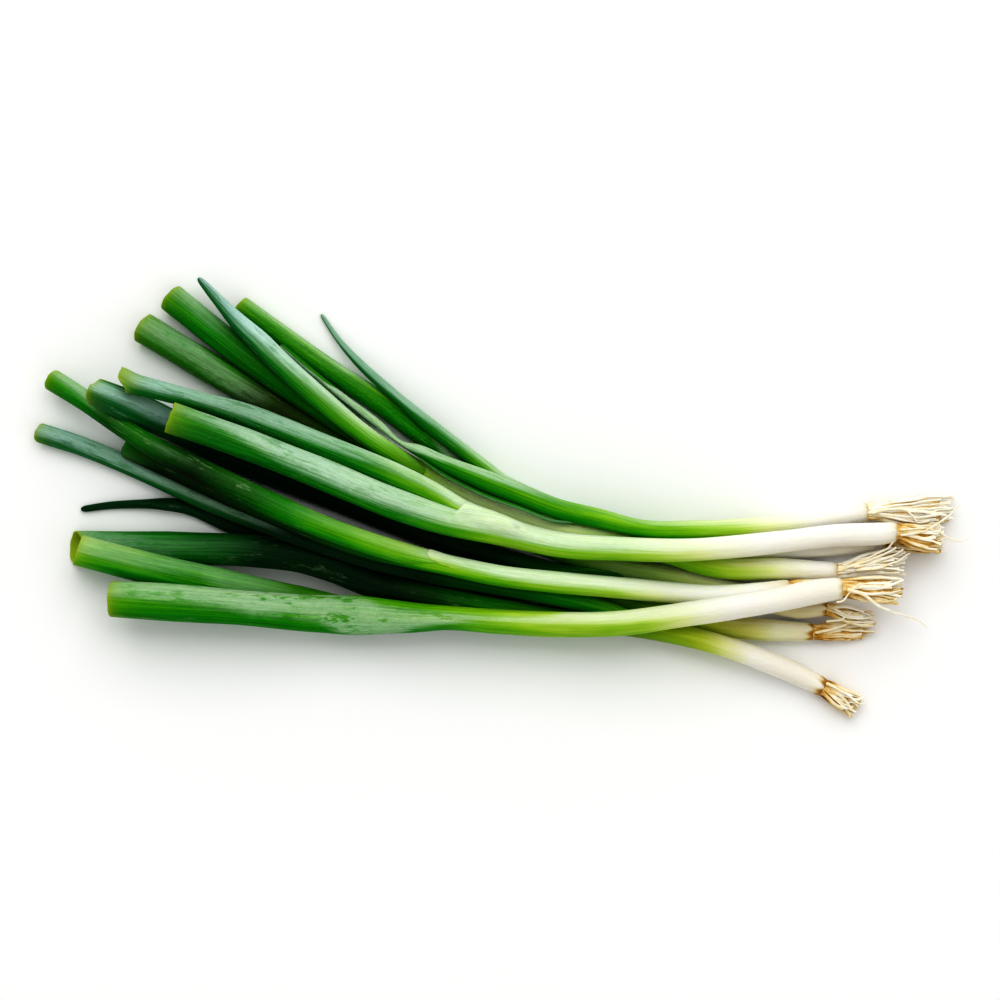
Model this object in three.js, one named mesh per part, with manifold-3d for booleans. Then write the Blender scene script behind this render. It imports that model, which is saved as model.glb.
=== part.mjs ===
// A bunch of nine spring onions lying on a table, roots to +X and cut leaves fanned out to -X.
// Millimetres, +Z up. The origin is on the table, under the middle of the bunch.
//
// Each onion is a stalk (the white shank, its sheath and the outer leaf, grown as one piece), the
// younger leaf that comes out of the sheath's mouth, and a tuft of trimmed roots. All of them are
// drawn in plan, and a lay rule then finds how high each one rests on those laid before it.
import * as THREE from "three";
import { mergeVertices } from "three/addons/utils/BufferGeometryUtils.js";
import Module from "manifold-3d";

const wasm = await Module();
wasm.setup();

// ---- Driving dimensions, mm -------------------------------------------------------------------

const SIDES = 10; // sides of a stalk's or leaf's section, with a flat one below
const RING_SPACING = 11; // between two sections along a stalk or leaf
const LAY_SPACING = 2.5; // between two samples of the lay rule
const CLEARANCE = 0.5; // kept by the lay rule between one piece and the next
const CUT_GAP = 0.3; // between a piece and the socket that it stands in
const BEND_RADIUS = 110; // how tightly a stalk bends down under its own weight
const SMOOTHING_PASSES = 8; // of the lay rule, over neighbouring samples
const LIFTED_LENGTH = 40; // of a leaf whose tip springs up
const NEST = 24; // length over which a young leaf lies within its own stalk
const SOCKET_RISE = 0.12; // how high a young leaf starts in its sheath, as a share of the height
const LEAF_WALL = 1.1; // wall of a leaf at its cut end
const BORE_DEPTH = 16; // how far the hollow runs in from the cut end
const SMALLEST_BORE = 4.2; // a leaf narrower than this has no hollow that shows

const THINNEST_HALF = 0.25; // half the width of the thinnest section

const PLATE_LENGTH = 2.6; // the short woody plate that the roots grow from
const PLATE_STEP_IN = 0.5; // how much smaller the plate is than the shank, all round
const PLATE_TAPER = 1.4; // the same at its far face
const ROOTS_PER_MM = 1.3; // roots in a tuft for each millimetre of its width at the tips
const ROOT_RADIUS = 0.78;
const ROOT_TIP = 0.62; // radius of a root's cut tip, as a share of ROOT_RADIUS
const ROOT_SEGMENTS = 3;
const ROOT_REACH = [0.62, 1.04]; // shortest and longest root, as shares of the tuft's length
const ROOT_SPREAD = [0.62, 0.92]; // how far out roots start and end, as shares of the tuft
const ROOT_WAVE = 0.45; // sideways wave of a root, as a share of the tuft
const GOLDEN_ANGLE = Math.PI * (3 - Math.sqrt(5));

// Where the middle of the bunch falls in the plan below
const PLAN_MIDDLE = [-1.3, 2.3];

// ---- The plan ---------------------------------------------------------------------------------

// A station is [x, y, width, height as a share of the width], and the share is 1 where left out.
// A stalk runs from the tips of its roots, over the base plate at station PLATE, to its cut end.
const PLATE = 2;

// slant: how far the cut end leans, [to the side, to the top], as a slope. rise: how high a young
// leaf starts in its sheath. tipLift: how far its tip springs up. passesUnder: a piece laid before
// it that it still lies below. A later piece of the list lies over an earlier one.
const PIECES = [
  {
    name: "g", kind: "stalk",
    stations: [
      [139, -47.5, 8.1, 0.6], [127.5, -48.5, 7.4, 0.7], [116.5, -49, 6.7], [103.5, -48.5, 7.8],
      [89, -47.5, 7.8], [77.5, -46, 7.8], [66.5, -43, 7.8], [52, -39, 7.8], [22, -35, 7.8, 0.9],
      [-7.5, -31.5, 7.8, 0.8], [-37, -26.5, 7.6, 0.75], [-66.5, -20.5, 7.2, 0.7],
      [-89, -14, 6.8, 0.7], [-103.5, -7.7, 6.1, 0.72], [-116.5, -2.6, 5.4, 0.75], [-126, -1.5, 5.5, 0.7],
      [-133, -1.5, 4.3, 0.75], [-145, -2, 3.1, 0.8], [-156, -3.5, 2.1],
    ],
  },
  {
    name: "i", kind: "stalk", slant: [0, 0.45],
    stations: [
      [132.5, -77, 10.4, 0.6], [126.5, -73.5, 8.5, 0.8], [120.5, -70, 7], [111, -65, 7.9],
      [96, -58.8, 7.7], [81.5, -53.7, 7.7], [66.5, -49.8, 7.7], [52, -47, 8.1], [22, -44, 8.5],
      [0, -41, 8.9], [-22, -37, 10, 0.95], [-44.5, -32, 10.7, 0.85], [-63, -24.7, 10.7, 0.8],
      [-74, -21.5, 10.8, 0.8], [-89, -19.2, 11.4, 0.75], [-118.5, -18, 12.2, 0.7],
      [-157.5, -18, 12.6, 0.7],
    ],
  },
  {
    name: "h", kind: "stalk",
    stations: [
      [139, -44.5, 6.7, 0.6], [130, -42.5, 6.3, 0.7], [121.5, -40.5, 5.5], [111, -40.5, 7],
      [103.5, -39, 7.4], [96, -36.5, 7.4], [81.5, -32, 7.4], [66.5, -29, 7.4], [37, -23.5, 7.4],
      [22, -19, 7.6], [0, -11, 7.8], [-18.5, -2, 8.1], [-37, 8, 8.5, 0.9], [-63, 23.5, 8.9, 0.85],
      [-81.5, 33.5, 9.6, 0.8], [-96, 42, 10.4, 0.8], [-111, 51, 11.1, 0.8],
      [-132.5, 64, 11.1, 0.8],
    ],
  },
  {
    name: "i", kind: "leaf",
    stations: [
      [57.5, -47.5, 3.7], [45, -42.5, 5.5], [37, -39.5, 6.3, 0.9], [22, -36, 6.8, 0.85],
      [-7.5, -30.5, 7.2, 0.8], [-22, -28, 7.4, 0.75], [-37, -24.5, 7.4, 0.75],
      [-52, -20.5, 7.4, 0.75], [-81.5, -10.5, 7.4, 0.75], [-110.5, 0.5, 7, 0.8],
      [-140.5, 14, 7, 0.85], [-155.5, 20, 7, 0.9], [-171, 25, 7, 0.9],
    ],
  },
  {
    name: "c", kind: "stalk",
    stations: [
      [164.5, -17, 8.1, 0.5], [153.5, -16.5, 6.7, 0.7], [143.5, -15, 6.7], [133, -16, 7.4],
      [118.5, -17.5, 7.4], [96, -18.5, 7.4], [74, -18, 7.4], [52, -14, 7.4], [29.5, -7, 7.4],
      [7.5, 2.5, 7.4], [-15, 14, 7.4, 0.95], [-29.5, 24.5, 7.8, 0.9], [-44.5, 36, 8.1, 0.85],
      [-67, 50.9, 7.9, 0.85], [-96.4, 71.8, 7.9, 0.9],
    ],
  },
  {
    name: "c", kind: "leaf",
    stations: [
      [28, -6, 3], [16.5, -2, 4.1], [7.5, 2, 4.8], [0, 7.5, 5.2], [-15, 19, 5.5],
      [-29.5, 30.5, 4.7], [-37, 37, 3.8], [-44.5, 43.5, 3.7], [-52, 50.5, 3.1], [-59.4, 58.7, 2],
      [-66.6, 69.2, 1.1],
    ],
  },
  {
    name: "d", kind: "stalk",
    stations: [
      [150, -22.5, 12.6, 0.6], [137, -24, 9.2, 0.8], [125.5, -26.5, 6.7], [118.5, -26.5, 7.4],
      [103.5, -25.5, 7.8], [85, -25.5, 7.8], [74, -23.5, 7.8], [66.5, -21, 7.8], [52, -17, 7.8],
      [37, -13.5, 7.6], [15, -9, 7.2], [-7.5, -1, 6.8], [-22, 6.5, 6.7, 0.9], [-37, 15, 7, 0.6],
      [-55.5, 26.5, 8.1, 0.6], [-70.5, 36.5, 8.7, 0.75], [-100, 57.5, 10.2, 0.8],
      [-122, 75, 10.6, 0.8],
    ],
  },
  {
    name: "a", kind: "stalk",
    stations: [
      [168.5, -5, 14.8, 0.5], [152.5, -5, 11.8, 0.65], [137, -4.5, 7], [126, -6, 7.4],
      [111, -8.5, 7.2], [96, -10, 7], [74, -11, 6.8], [52, -10.5, 6.5], [37, -7, 7.2],
      [22, -3.5, 7.4, 0.95], [7.5, 2, 7.6, 0.9], [-7.5, 8, 7.4, 0.9], [-22, 14, 5.9, 0.9],
      [-30.5, 18.5, 4.1, 1.1], [-36.5, 21, 1.8, 2.2], [-44.5, 27.5, 3.1, 1.5],
      [-59, 38.5, 2.8, 1.6], [-81.5, 57.5, 1.8, 1.8],
    ],
  },
  {
    name: "a", kind: "leaf",
    stations: [
      [37, -7, 1.5], [29, -8, 1.8], [22, -8, 2.2], [7.5, -3, 2.4], [-7.5, 2.5, 2.4],
      [-22, 10, 2], [-30.5, 16, 0.9],
    ],
  },
  {
    name: "d", kind: "leaf",
    stations: [
      [-16.5, 4, 2.4], [-28, 10, 5, 0.8], [-37, 15, 6.7, 0.8], [-52, 25.5, 7, 0.8],
      [-66.5, 37.5, 7.8, 0.8], [-81.5, 51, 8.1, 0.85], [-89, 58.5, 8, 0.9], [-96, 65, 6.7],
      [-103.5, 73, 4.3], [-107.5, 77.5, 3.3], [-112, 82.5, 1.8],
    ],
  },
  {
    name: "h", kind: "leaf", tipLift: 15,
    stations: [
      [55.5, -27.5, 3], [48, -27, 4.1], [40.5, -26.5, 4.8], [22, -26.5, 5.9], [7.5, -23.5, 7],
      [-7.5, -19, 7.4], [-22, -15, 8.1, 0.95], [-37, -9, 8.9, 0.9], [-59, 0, 9.6, 0.88],
      [-74, 6, 10.4, 0.85], [-102, 17.5, 10.7, 0.85], [-118.5, 26, 11.1, 0.85],
      [-133, 33, 11.8, 0.8], [-149.5, 40, 10.5, 0.8],
    ],
  },
  {
    name: "e", kind: "stalk", slant: [-0.44, 0],
    stations: [
      [125, -32, 7.4, 0.6], [116.5, -32.5, 6.7, 0.7], [107.5, -33, 7], [96, -34.5, 7.8],
      [81.5, -35.5, 7.8], [66.5, -34.5, 7.8], [44.5, -32.5, 7.8], [22, -30.5, 7.8],
      [0, -28, 7.8, 0.95], [-22, -23.5, 7.4, 0.85], [-37, -20.5, 7.4, 0.55],
      [-52, -17, 7.4, 0.5], [-66.5, -12, 7.4, 0.55], [-96, 0, 7.4, 0.55], [-140, 20, 7.4, 0.55],
    ],
  },
  {
    name: "e", kind: "leaf", passesUnder: "leaf_h",
    stations: [
      [-9, -25.5, 2.4], [-18.5, -23.2, 4, 0.9], [-27.5, -21.4, 6.6, 0.75], [-37, -19.2, 7.8, 0.8],
      [-44.5, -17, 7.8, 0.8], [-58, -12.5, 8.1, 0.8], [-88, 0, 9.1, 0.75], [-102, 6.5, 9.2, 0.75],
      [-117, 14, 8.7, 0.8], [-132, 22, 7.4, 0.9], [-140.5, 27.5, 7, 0.9],
      [-155.5, 38, 7.6, 0.9], [-166, 44.5, 7.8, 0.9],
    ],
  },
  {
    name: "b", kind: "leaf", rise: -0.06,
    stations: [
      [8, -11, 2.4], [1.5, -8.6, 4.2], [-7.5, -6, 6], [-14, -3, 6.4], [-22, 1.5, 7, 0.85],
      [-37, 8.5, 8.5, 0.75], [-66.5, 20.5, 8.7, 0.75], [-81.5, 26.5, 8.9, 0.75], [-96, 32, 8.4, 0.8],
      [-111, 36.5, 6.8, 0.9], [-126, 40.5, 7, 0.85], [-140, 44, 8.1, 0.7],
    ],
  },
  {
    name: "b", kind: "stalk",
    stations: [
      [164.5, -14.5, 11.1, 0.7], [156, -14, 10, 0.75], [147, -12, 7.4], [140.5, -12.5, 8.1],
      [126, -13, 8.1], [103.5, -15.5, 8.1], [89, -17, 8.1], [66.5, -18.5, 8.3], [44.5, -18, 8.9],
      [22, -16.5, 9.2], [0, -11.5, 10.2, 0.92], [-22, -7, 10.7, 0.85], [-37, -2, 11.3, 0.82],
      [-66.5, 10, 11.3, 0.8], [-96, 21.5, 11.3, 0.8], [-121.5, 30.5, 11.3, 0.82],
    ],
  },
  {
    name: "f", kind: "leaf", rise: -0.1,
    stations: [
      [-33.5, -43.5, 4.4], [-40.5, -42.5, 6.3, 0.8], [-48, -41.5, 7.8, 0.65],
      [-59, -40, 8.9, 0.6], [-74, -37.2, 10, 0.7], [-103.5, -31.2, 11.5, 0.75],
      [-133, -24.5, 11.5, 0.75], [-156, -18.5, 11.7, 0.75],
    ],
  },
  {
    name: "f", kind: "stalk",
    stations: [
      [148.5, -33.5, 11.1, 0.6], [137.5, -33, 9.6, 0.8], [126.5, -32.5, 7.8],
      [118.5, -33.5, 8.9], [103.5, -36.5, 8.9], [89, -39, 8.9], [66.5, -42.5, 8.9],
      [44.5, -45.5, 9.2], [22, -46, 9.2], [0, -45, 8.9], [-22, -43.5, 9.2, 0.95],
      [-29.5, -43.5, 10.7, 0.8], [-40.5, -43.1, 12.5, 0.54], [-53.5, -42.6, 14.4, 0.44],
      [-66.5, -42.1, 13.6, 0.5], [-96, -39.7, 12.9, 0.64], [-126, -37.5, 13.7, 0.7],
      [-143.5, -36.5, 12.9, 0.72],
    ],
  },
];

// The station at which each young leaf comes out of its sheath
const MOUTH = { a: 1, b: 3, c: 1, d: 1, e: 2, f: 2, h: 2, i: 1 };

// ---- Paths in plan ----------------------------------------------------------------------------

// A smooth path through the stations, as samples an even distance apart.
function trace(stations, spacing) {
  const knots = stations.map(([x, y, width, share = 1]) => [
    x - PLAN_MIDDLE[0],
    y - PLAN_MIDDLE[1],
    width,
    width * share,
  ]);
  const along = [0];
  for (let i = 1; i < knots.length; i++) {
    const step = Math.hypot(knots[i][0] - knots[i - 1][0], knots[i][1] - knots[i - 1][1]);
    along.push(along[i - 1] + step);
  }
  const slope = (i, k) => (knots[i + 1][k] - knots[i][k]) / (along[i + 1] - along[i]);
  const slopeAt = (i, k) => {
    if (i === 0) return slope(0, k);
    if (i === knots.length - 1) return slope(i - 1, k);
    const before = along[i] - along[i - 1];
    const after = along[i + 1] - along[i];
    return (slope(i - 1, k) * after + slope(i, k) * before) / (before + after);
  };
  const length = along.at(-1);
  const count = Math.ceil(length / spacing);
  const samples = [];
  let span = 0;
  for (let n = 0; n <= count; n++) {
    const s = (length * n) / count;
    while (span < knots.length - 2 && s > along[span + 1]) span++;
    const size = along[span + 1] - along[span];
    const t = (s - along[span]) / size;
    const value = [0, 1, 2, 3].map(
      (k) =>
        (2 * t ** 3 - 3 * t ** 2 + 1) * knots[span][k] +
        (t ** 3 - 2 * t ** 2 + t) * size * slopeAt(span, k) +
        (3 * t ** 2 - 2 * t ** 3) * knots[span + 1][k] +
        (t ** 3 - t ** 2) * size * slopeAt(span + 1, k),
    );
    samples.push({ s, x: value[0], y: value[1], width: value[2], height: value[3], z: 0 });
  }
  return { samples, along, length };
}

// The sample at distance s along a path, between two of its samples.
function sampleAt(samples, s) {
  const step = samples[1].s - samples[0].s;
  const i = Math.min(Math.max(Math.floor(s / step), 0), samples.length - 2);
  const t = s / step - i;
  const mix = (key) => samples[i][key] + (samples[i + 1][key] - samples[i][key]) * t;
  return { s, x: mix("x"), y: mix("y"), width: mix("width"), height: mix("height"), z: mix("z") };
}

// ---- The lay rule -----------------------------------------------------------------------------

const gapBetween = (p, q) => Math.hypot(p.x - q.x, p.y - q.y);
const smoothStep = (t) => t * t * (3 - 2 * t);

// Half the height of a section down to its flat side
const halfHeight = (p) => (p.height / 2) * Math.cos(Math.PI / SIDES);

// The lowest that each sample may lie: on the table, or on the pieces laid before it.
function lowestHeights(piece, laid) {
  return piece.samples.map((p) => {
    let low = halfHeight(p);
    for (const other of laid) {
      if (piece.passesUnder === other.id) continue;
      const nested = other.name === piece.name;
      if (nested && gapBetween(p, piece.mouth) < NEST) continue;
      for (const q of other.samples) {
        const reach = (p.width + q.width) / 2 + CLEARANCE;
        const gap = gapBetween(p, q);
        if (gap >= reach) continue;
        if (nested && gapBetween(q, piece.mouth) < NEST) continue;
        const rise = (p.height + q.height) / 2 + CLEARANCE;
        low = Math.max(low, q.z + rise * Math.sqrt(1 - (gap / reach) ** 2));
      }
    }
    return low;
  });
}

// A piece bridges from one support to the next and bends down gently beyond the last.
function layPiece(piece, laid) {
  const low = lowestHeights(piece, laid);
  const step = piece.samples[1].s;
  let height = low.map((_, i) =>
    Math.max(...low.map((z, j) => z - ((i - j) * step) ** 2 / (2 * BEND_RADIUS))),
  );
  for (let pass = 0; pass < SMOOTHING_PASSES; pass++) {
    height = height.map((z, i) => {
      const before = height[Math.max(i - 1, 0)];
      const after = height[Math.min(i + 1, height.length - 1)];
      return Math.max(low[i], (before + 2 * z + after) / 4);
    });
  }
  piece.samples.forEach((p, i) => {
    const past = Math.max(p.s - piece.length + LIFTED_LENGTH, 0) / LIFTED_LENGTH;
    p.z = height[i] + (piece.tipLift ?? 0) * smoothStep(past);
  });
}

// A young leaf starts inside its own sheath and leaves it within the length NEST.
function nestLeaf(leaf, stalk) {
  const nearest = stalk.samples.reduce((best, q) =>
    gapBetween(q, leaf.mouth) < gapBetween(best, leaf.mouth) ? q : best,
  );
  const start = nearest.z + nearest.height * (leaf.rise ?? SOCKET_RISE);
  for (const p of leaf.samples) {
    const past = Math.min(Math.max((p.s - leaf.mouthAt) / NEST, 0), 1);
    p.z = start + (p.z - start) * smoothStep(past);
    p.z = Math.max(p.z, halfHeight(p));
  }
}

function layBunch() {
  const laid = [];
  for (const plan of PIECES) {
    const path = trace(plan.stations, LAY_SPACING);
    const piece = { ...plan, ...path, id: plan.kind + "_" + plan.name };
    const mouthStation = MOUTH[plan.name];
    const leafPlan = PIECES.find((p) => p.kind === "leaf" && p.name === plan.name);
    if (leafPlan) {
      const [x, y] = leafPlan.stations[mouthStation];
      piece.mouth = { x: x - PLAN_MIDDLE[0], y: y - PLAN_MIDDLE[1] };
    }
    if (plan.kind === "leaf") piece.mouthAt = path.along[mouthStation];
    else piece.plateAt = path.along[PLATE];
    layPiece(piece, laid);
    laid.push(piece);
  }
  for (const leaf of laid.filter((p) => p.kind === "leaf"))
    nestLeaf(
      leaf,
      laid.find((p) => p.kind === "stalk" && p.name === leaf.name),
    );
  return laid;
}

// ---- Solids -----------------------------------------------------------------------------------

const UPRIGHT = [0, 0];
const vector = (p) => new THREE.Vector3(p.x, p.y, p.z);

// The direction of a path in plan, and the level direction across it.
function directions(samples, s) {
  const ahead = sampleAt(samples, Math.min(s + 2, samples.at(-1).s));
  const behind = sampleAt(samples, Math.max(s - 2, 0));
  const forward = new THREE.Vector3(ahead.x - behind.x, ahead.y - behind.y, 0).normalize();
  return { forward, side: new THREE.Vector3(-forward.y, forward.x, 0) };
}

// An upright section of a piece at distance s: inset makes it smaller, slant leans it forward.
function section(samples, s, inset = 0, slant = UPRIGHT) {
  const centre = sampleAt(samples, s);
  const { forward, side } = directions(samples, s);
  const ring = [];
  for (let k = 0; k < SIDES; k++) {
    const angle = ((k - 0.5) * 2 * Math.PI) / SIDES - Math.PI / 2;
    const across = Math.max(centre.width / 2 - inset, THINNEST_HALF) * Math.cos(angle);
    const up = Math.max(centre.height / 2 - inset, THINNEST_HALF) * Math.sin(angle);
    const lean = across * slant[0] - up * slant[1];
    const point = vector(centre).addScaledVector(side, across).addScaledVector(forward, lean);
    point.z += up;
    ring.push(point);
  }
  return ring;
}

// A closed skin over rings of equal count, with a fan over the first and the last.
function skin(rings) {
  const count = rings[0].length;
  const points = rings.flat();
  const middle = (ring) =>
    ring.reduce((sum, p) => sum.add(p), new THREE.Vector3()).divideScalar(count);
  points.push(middle(rings[0]), middle(rings.at(-1)));
  const [firstMiddle, lastMiddle] = [points.length - 2, points.length - 1];
  const faces = [];
  const lastRing = (rings.length - 1) * count;
  for (let k = 0; k < count; k++) {
    const next = (k + 1) % count;
    for (let r = 0; r < rings.length - 1; r++) {
      const [a, b] = [r * count + k, r * count + next];
      faces.push(a, b, b + count, a, b + count, a + count);
    }
    faces.push(firstMiddle, next, k, lastMiddle, lastRing + k, lastRing + next);
  }
  const geometry = new THREE.BufferGeometry().setFromPoints(points);
  geometry.setIndex(faces);
  return geometry;
}

// A skin as a manifold solid, turned the right way out.
function solidOf(geometry) {
  const merged = mergeVertices(geometry, 1e-4);
  const made = (index) =>
    new wasm.Manifold(
      new wasm.Mesh({
        numProp: 3,
        vertProperties: merged.attributes.position.array,
        triVerts: index,
      }),
    );
  const index = new Uint32Array(merged.index.array);
  const solid = made(index);
  if (solid.volume() > 0) return solid;
  for (let i = 0; i < index.length; i += 3)
    [index[i + 1], index[i + 2]] = [index[i + 2], index[i + 1]];
  return made(index);
}

function geometryOf(solid) {
  const mesh = solid.getMesh();
  const geometry = new THREE.BufferGeometry();
  const position = new THREE.BufferAttribute(new Float32Array(mesh.vertProperties), 3);
  geometry.setAttribute("position", position);
  geometry.setIndex(new THREE.BufferAttribute(new Uint32Array(mesh.triVerts), 1));
  return geometry;
}

// The stretch of a piece from one distance to another: grow makes it larger all round, and a cut
// end that is wide enough gets the leaf's hollow.
function tube(piece, from, to, { grow = 0, hollow = false } = {}) {
  const { samples, slant } = piece;
  const count = Math.max(Math.ceil((to - from) / RING_SPACING), 2);
  const rings = [];
  for (let n = 0; n < count; n++)
    rings.push(section(samples, from + ((to - from) * n) / count, -grow));
  const end = hollow && slant ? slant : UPRIGHT;
  rings.push(section(samples, to, -grow, end));
  const { width, height } = sampleAt(samples, to);
  if (hollow && Math.min(width, height) > SMALLEST_BORE) {
    rings.push(section(samples, to, LEAF_WALL, end));
    rings.push(section(samples, to - BORE_DEPTH, LEAF_WALL));
  }
  return solidOf(skin(rings));
}

function stalkSolid(piece) {
  return tube(piece, piece.plateAt, piece.length, { hollow: true });
}

function leafSolid(piece) {
  return tube(piece, 0, piece.length, { hollow: true });
}

// What a leaf takes out of the sheath round it
function socketSolid(piece) {
  return tube(piece, 0, piece.length, { grow: CUT_GAP });
}

// ---- Roots ------------------------------------------------------------------------------------

// Even random numbers from 0 to 1, the same on every run.
function randomSource(seed) {
  let state = seed >>> 0;
  return () => {
    state = (Math.imul(state, 1664525) + 1013904223) >>> 0;
    return state / 2 ** 32;
  };
}

// A place in the tuft: t is 0 at the plate and 1 at the tips, and p and q run across and up from
// -1 to 1.
function inTuft(piece, t, p, q) {
  const s = piece.plateAt * (1 - t);
  const centre = sampleAt(piece.samples, Math.max(s, 0));
  const { forward, side } = directions(piece.samples, Math.max(s, 0));
  const point = vector(centre)
    .addScaledVector(side, (centre.width / 2 - ROOT_RADIUS) * p)
    .addScaledVector(forward, Math.min(s, 0));
  point.z += (centre.height / 2 - ROOT_RADIUS) * q;
  return point;
}

// A three-sided needle along a few points, thinner to its tip.
function needle(points) {
  const rings = points.map((point, i) => {
    const ahead = points[Math.min(i + 1, points.length - 1)];
    const behind = points[Math.max(i - 1, 0)];
    const forward = ahead.clone().sub(behind).normalize();
    const across = new THREE.Vector3(0, 0, 1).cross(forward).normalize();
    const up = forward.clone().cross(across);
    const radius = ROOT_RADIUS * (1 - ((1 - ROOT_TIP) * i) / (points.length - 1));
    return [0, 1, 2].map((k) => {
      const angle = (k * 2 * Math.PI) / 3 + Math.PI / 2;
      return point
        .clone()
        .addScaledVector(across, radius * Math.cos(angle))
        .addScaledVector(up, radius * Math.sin(angle));
    });
  });
  return solidOf(skin(rings));
}

// The base plate with its roots, fused into one solid.
function rootsSolid(piece, seed) {
  const random = randomSource(seed);
  const face = piece.plateAt - CUT_GAP;
  const rings = [
    section(piece.samples, face, PLATE_STEP_IN),
    section(piece.samples, face - PLATE_LENGTH * 0.5, PLATE_STEP_IN),
    section(piece.samples, face - PLATE_LENGTH, PLATE_TAPER),
  ];
  let tuft = solidOf(skin(rings));
  const start = (CUT_GAP + PLATE_LENGTH * 0.45) / piece.plateAt; // sunk into the plate
  const mix = ([from, to], share) => from + (to - from) * share;
  const count = Math.round(piece.samples[0].width * ROOTS_PER_MM);
  for (let n = 0; n < count; n++) {
    const turn = n * GOLDEN_ANGLE;
    const out = Math.sqrt((n + 0.5) / count);
    const reach = mix(ROOT_REACH, random());
    const [wiggleP, wiggleQ] = [random() - 0.5, random() - 0.5];
    const points = [];
    for (let k = 0; k <= ROOT_SEGMENTS; k++) {
      const t = start + ((reach - start) * k) / ROOT_SEGMENTS;
      const spread = mix(ROOT_SPREAD, k / ROOT_SEGMENTS);
      const wave = Math.sin((k * Math.PI) / ROOT_SEGMENTS) * ROOT_WAVE;
      const p = Math.cos(turn) * out * spread + wiggleP * wave;
      const q = Math.sin(turn) * out * spread + wiggleQ * wave;
      points.push(inTuft(piece, t, p, q));
    }
    tuft = tuft.add(needle(points));
  }
  return tuft;
}

// ---- The bunch --------------------------------------------------------------------------------

const MATERIALS = {
  stalk: new THREE.MeshStandardMaterial({ color: 0xa9c47c, roughness: 0.45, metalness: 0 }),
  leaf: new THREE.MeshStandardMaterial({ color: 0x4f8a4a, roughness: 0.5, metalness: 0 }),
  roots: new THREE.MeshStandardMaterial({ color: 0xd9c7a0, roughness: 0.8, metalness: 0 }),
};

// Drops the loose slivers that a cut can leave.
function largestBody(solid) {
  const bodies = solid.decompose();
  return bodies.reduce((best, body) => (body.volume() > best.volume() ? body : best));
}

// Cuts away whatever of a solid comes nearer than CUT_GAP to the tubes already made.
function clearOf(solid, sockets) {
  let left = solid;
  for (const socket of sockets)
    if (left.intersect(socket).volume() > 1e-6) left = left.subtract(socket);
  return largestBody(left);
}

const pieces = layBunch();
const leaves = pieces.filter((p) => p.kind === "leaf");
const stalks = pieces.filter((p) => p.kind === "stalk");
const bunch = new THREE.Group();
const sockets = [];

function addNode(name, solid, material) {
  const mesh = new THREE.Mesh(geometryOf(solid), material);
  mesh.name = name;
  bunch.add(mesh);
}

for (const leaf of leaves) {
  addNode("onion_" + leaf.name + "_leaf", clearOf(leafSolid(leaf), sockets), MATERIALS.leaf);
  sockets.push(socketSolid(leaf));
}
for (const stalk of stalks) {
  addNode("onion_" + stalk.name + "_stalk", clearOf(stalkSolid(stalk), sockets), MATERIALS.stalk);
  sockets.push(tube(stalk, stalk.plateAt - CUT_GAP * 0.9, stalk.length, { grow: CUT_GAP }));
}
stalks.forEach((stalk, i) => {
  const tuft = clearOf(rootsSolid(stalk, 11 + i), sockets);
  addNode("onion_" + stalk.name + "_roots", tuft, MATERIALS.roots);
});

export default bunch;
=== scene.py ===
# %% [markdown]
# # A bunch of spring onions
#
# Nine spring onions lie on a table, roots to the right and cut leaves fanned out to the left.
# Each one is a white shank that turns into a green hollow leaf, with a tuft of trimmed roots at
# its foot, and all but one have a younger leaf that comes out of the sheath. The solids in the
# frame give the box that the bunch fills, and this lesson grows a finer skin over each piece and
# paints it. Lengths in the tables are millimetres, and everything in the scene is in metres.

# %% Load the frame
import math

import bpy
import numpy as np
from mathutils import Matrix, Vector


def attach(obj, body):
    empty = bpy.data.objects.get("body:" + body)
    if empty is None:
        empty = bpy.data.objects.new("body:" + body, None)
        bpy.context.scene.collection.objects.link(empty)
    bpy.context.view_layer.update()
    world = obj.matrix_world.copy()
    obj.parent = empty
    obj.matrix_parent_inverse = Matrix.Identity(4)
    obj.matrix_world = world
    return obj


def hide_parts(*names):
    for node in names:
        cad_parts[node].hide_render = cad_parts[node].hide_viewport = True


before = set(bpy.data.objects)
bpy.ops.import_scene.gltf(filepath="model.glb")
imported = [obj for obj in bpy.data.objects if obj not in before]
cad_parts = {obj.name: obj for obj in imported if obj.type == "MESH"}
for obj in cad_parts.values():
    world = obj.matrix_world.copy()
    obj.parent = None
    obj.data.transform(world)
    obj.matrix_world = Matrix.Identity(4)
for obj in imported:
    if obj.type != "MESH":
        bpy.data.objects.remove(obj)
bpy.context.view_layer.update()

MM = 0.001
print("solids in the frame:", len(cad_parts))

# %% [markdown]
# ## The camera
#
# The bunch is seen from straight above, as on a kitchen table. A long lens from two metres up
# keeps the thin stalks free of perspective. Image right is +X and image up is +Y.

# %% Camera
CAMERA_HEIGHT = 2.0
FIELD_WIDTH = 0.370  # how much of the table the picture is wide
SENSOR_WIDTH = 36.0
BUNCH_MIDDLE = (0.0013, -0.0023, 0.012)


def new_object(name, data):
    """An object with this data, in the scene."""
    made = bpy.data.objects.new(name, data)
    bpy.context.scene.collection.objects.link(made)
    return made


camera_data = bpy.data.cameras.new("camera")
camera_data.sensor_width = SENSOR_WIDTH
camera_data.lens = SENSOR_WIDTH * CAMERA_HEIGHT / FIELD_WIDTH
camera = new_object("camera", camera_data)
camera.location = Vector(BUNCH_MIDDLE) + Vector((0, 0, CAMERA_HEIGHT))
bpy.context.scene.camera = camera
print("lens, mm:", round(camera_data.lens, 1))

# %% [markdown]
# ## The plan of the bunch
#
# Every stalk and leaf is drawn in plan as a few stations: x, y, the width there, and the height
# as a share of the width where the tube is pressed flat. A stalk starts at the tips of its
# roots, passes the base plate at its third station and runs on to its cut end. The list is in
# laying order, so a later piece lies over an earlier one.

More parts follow.
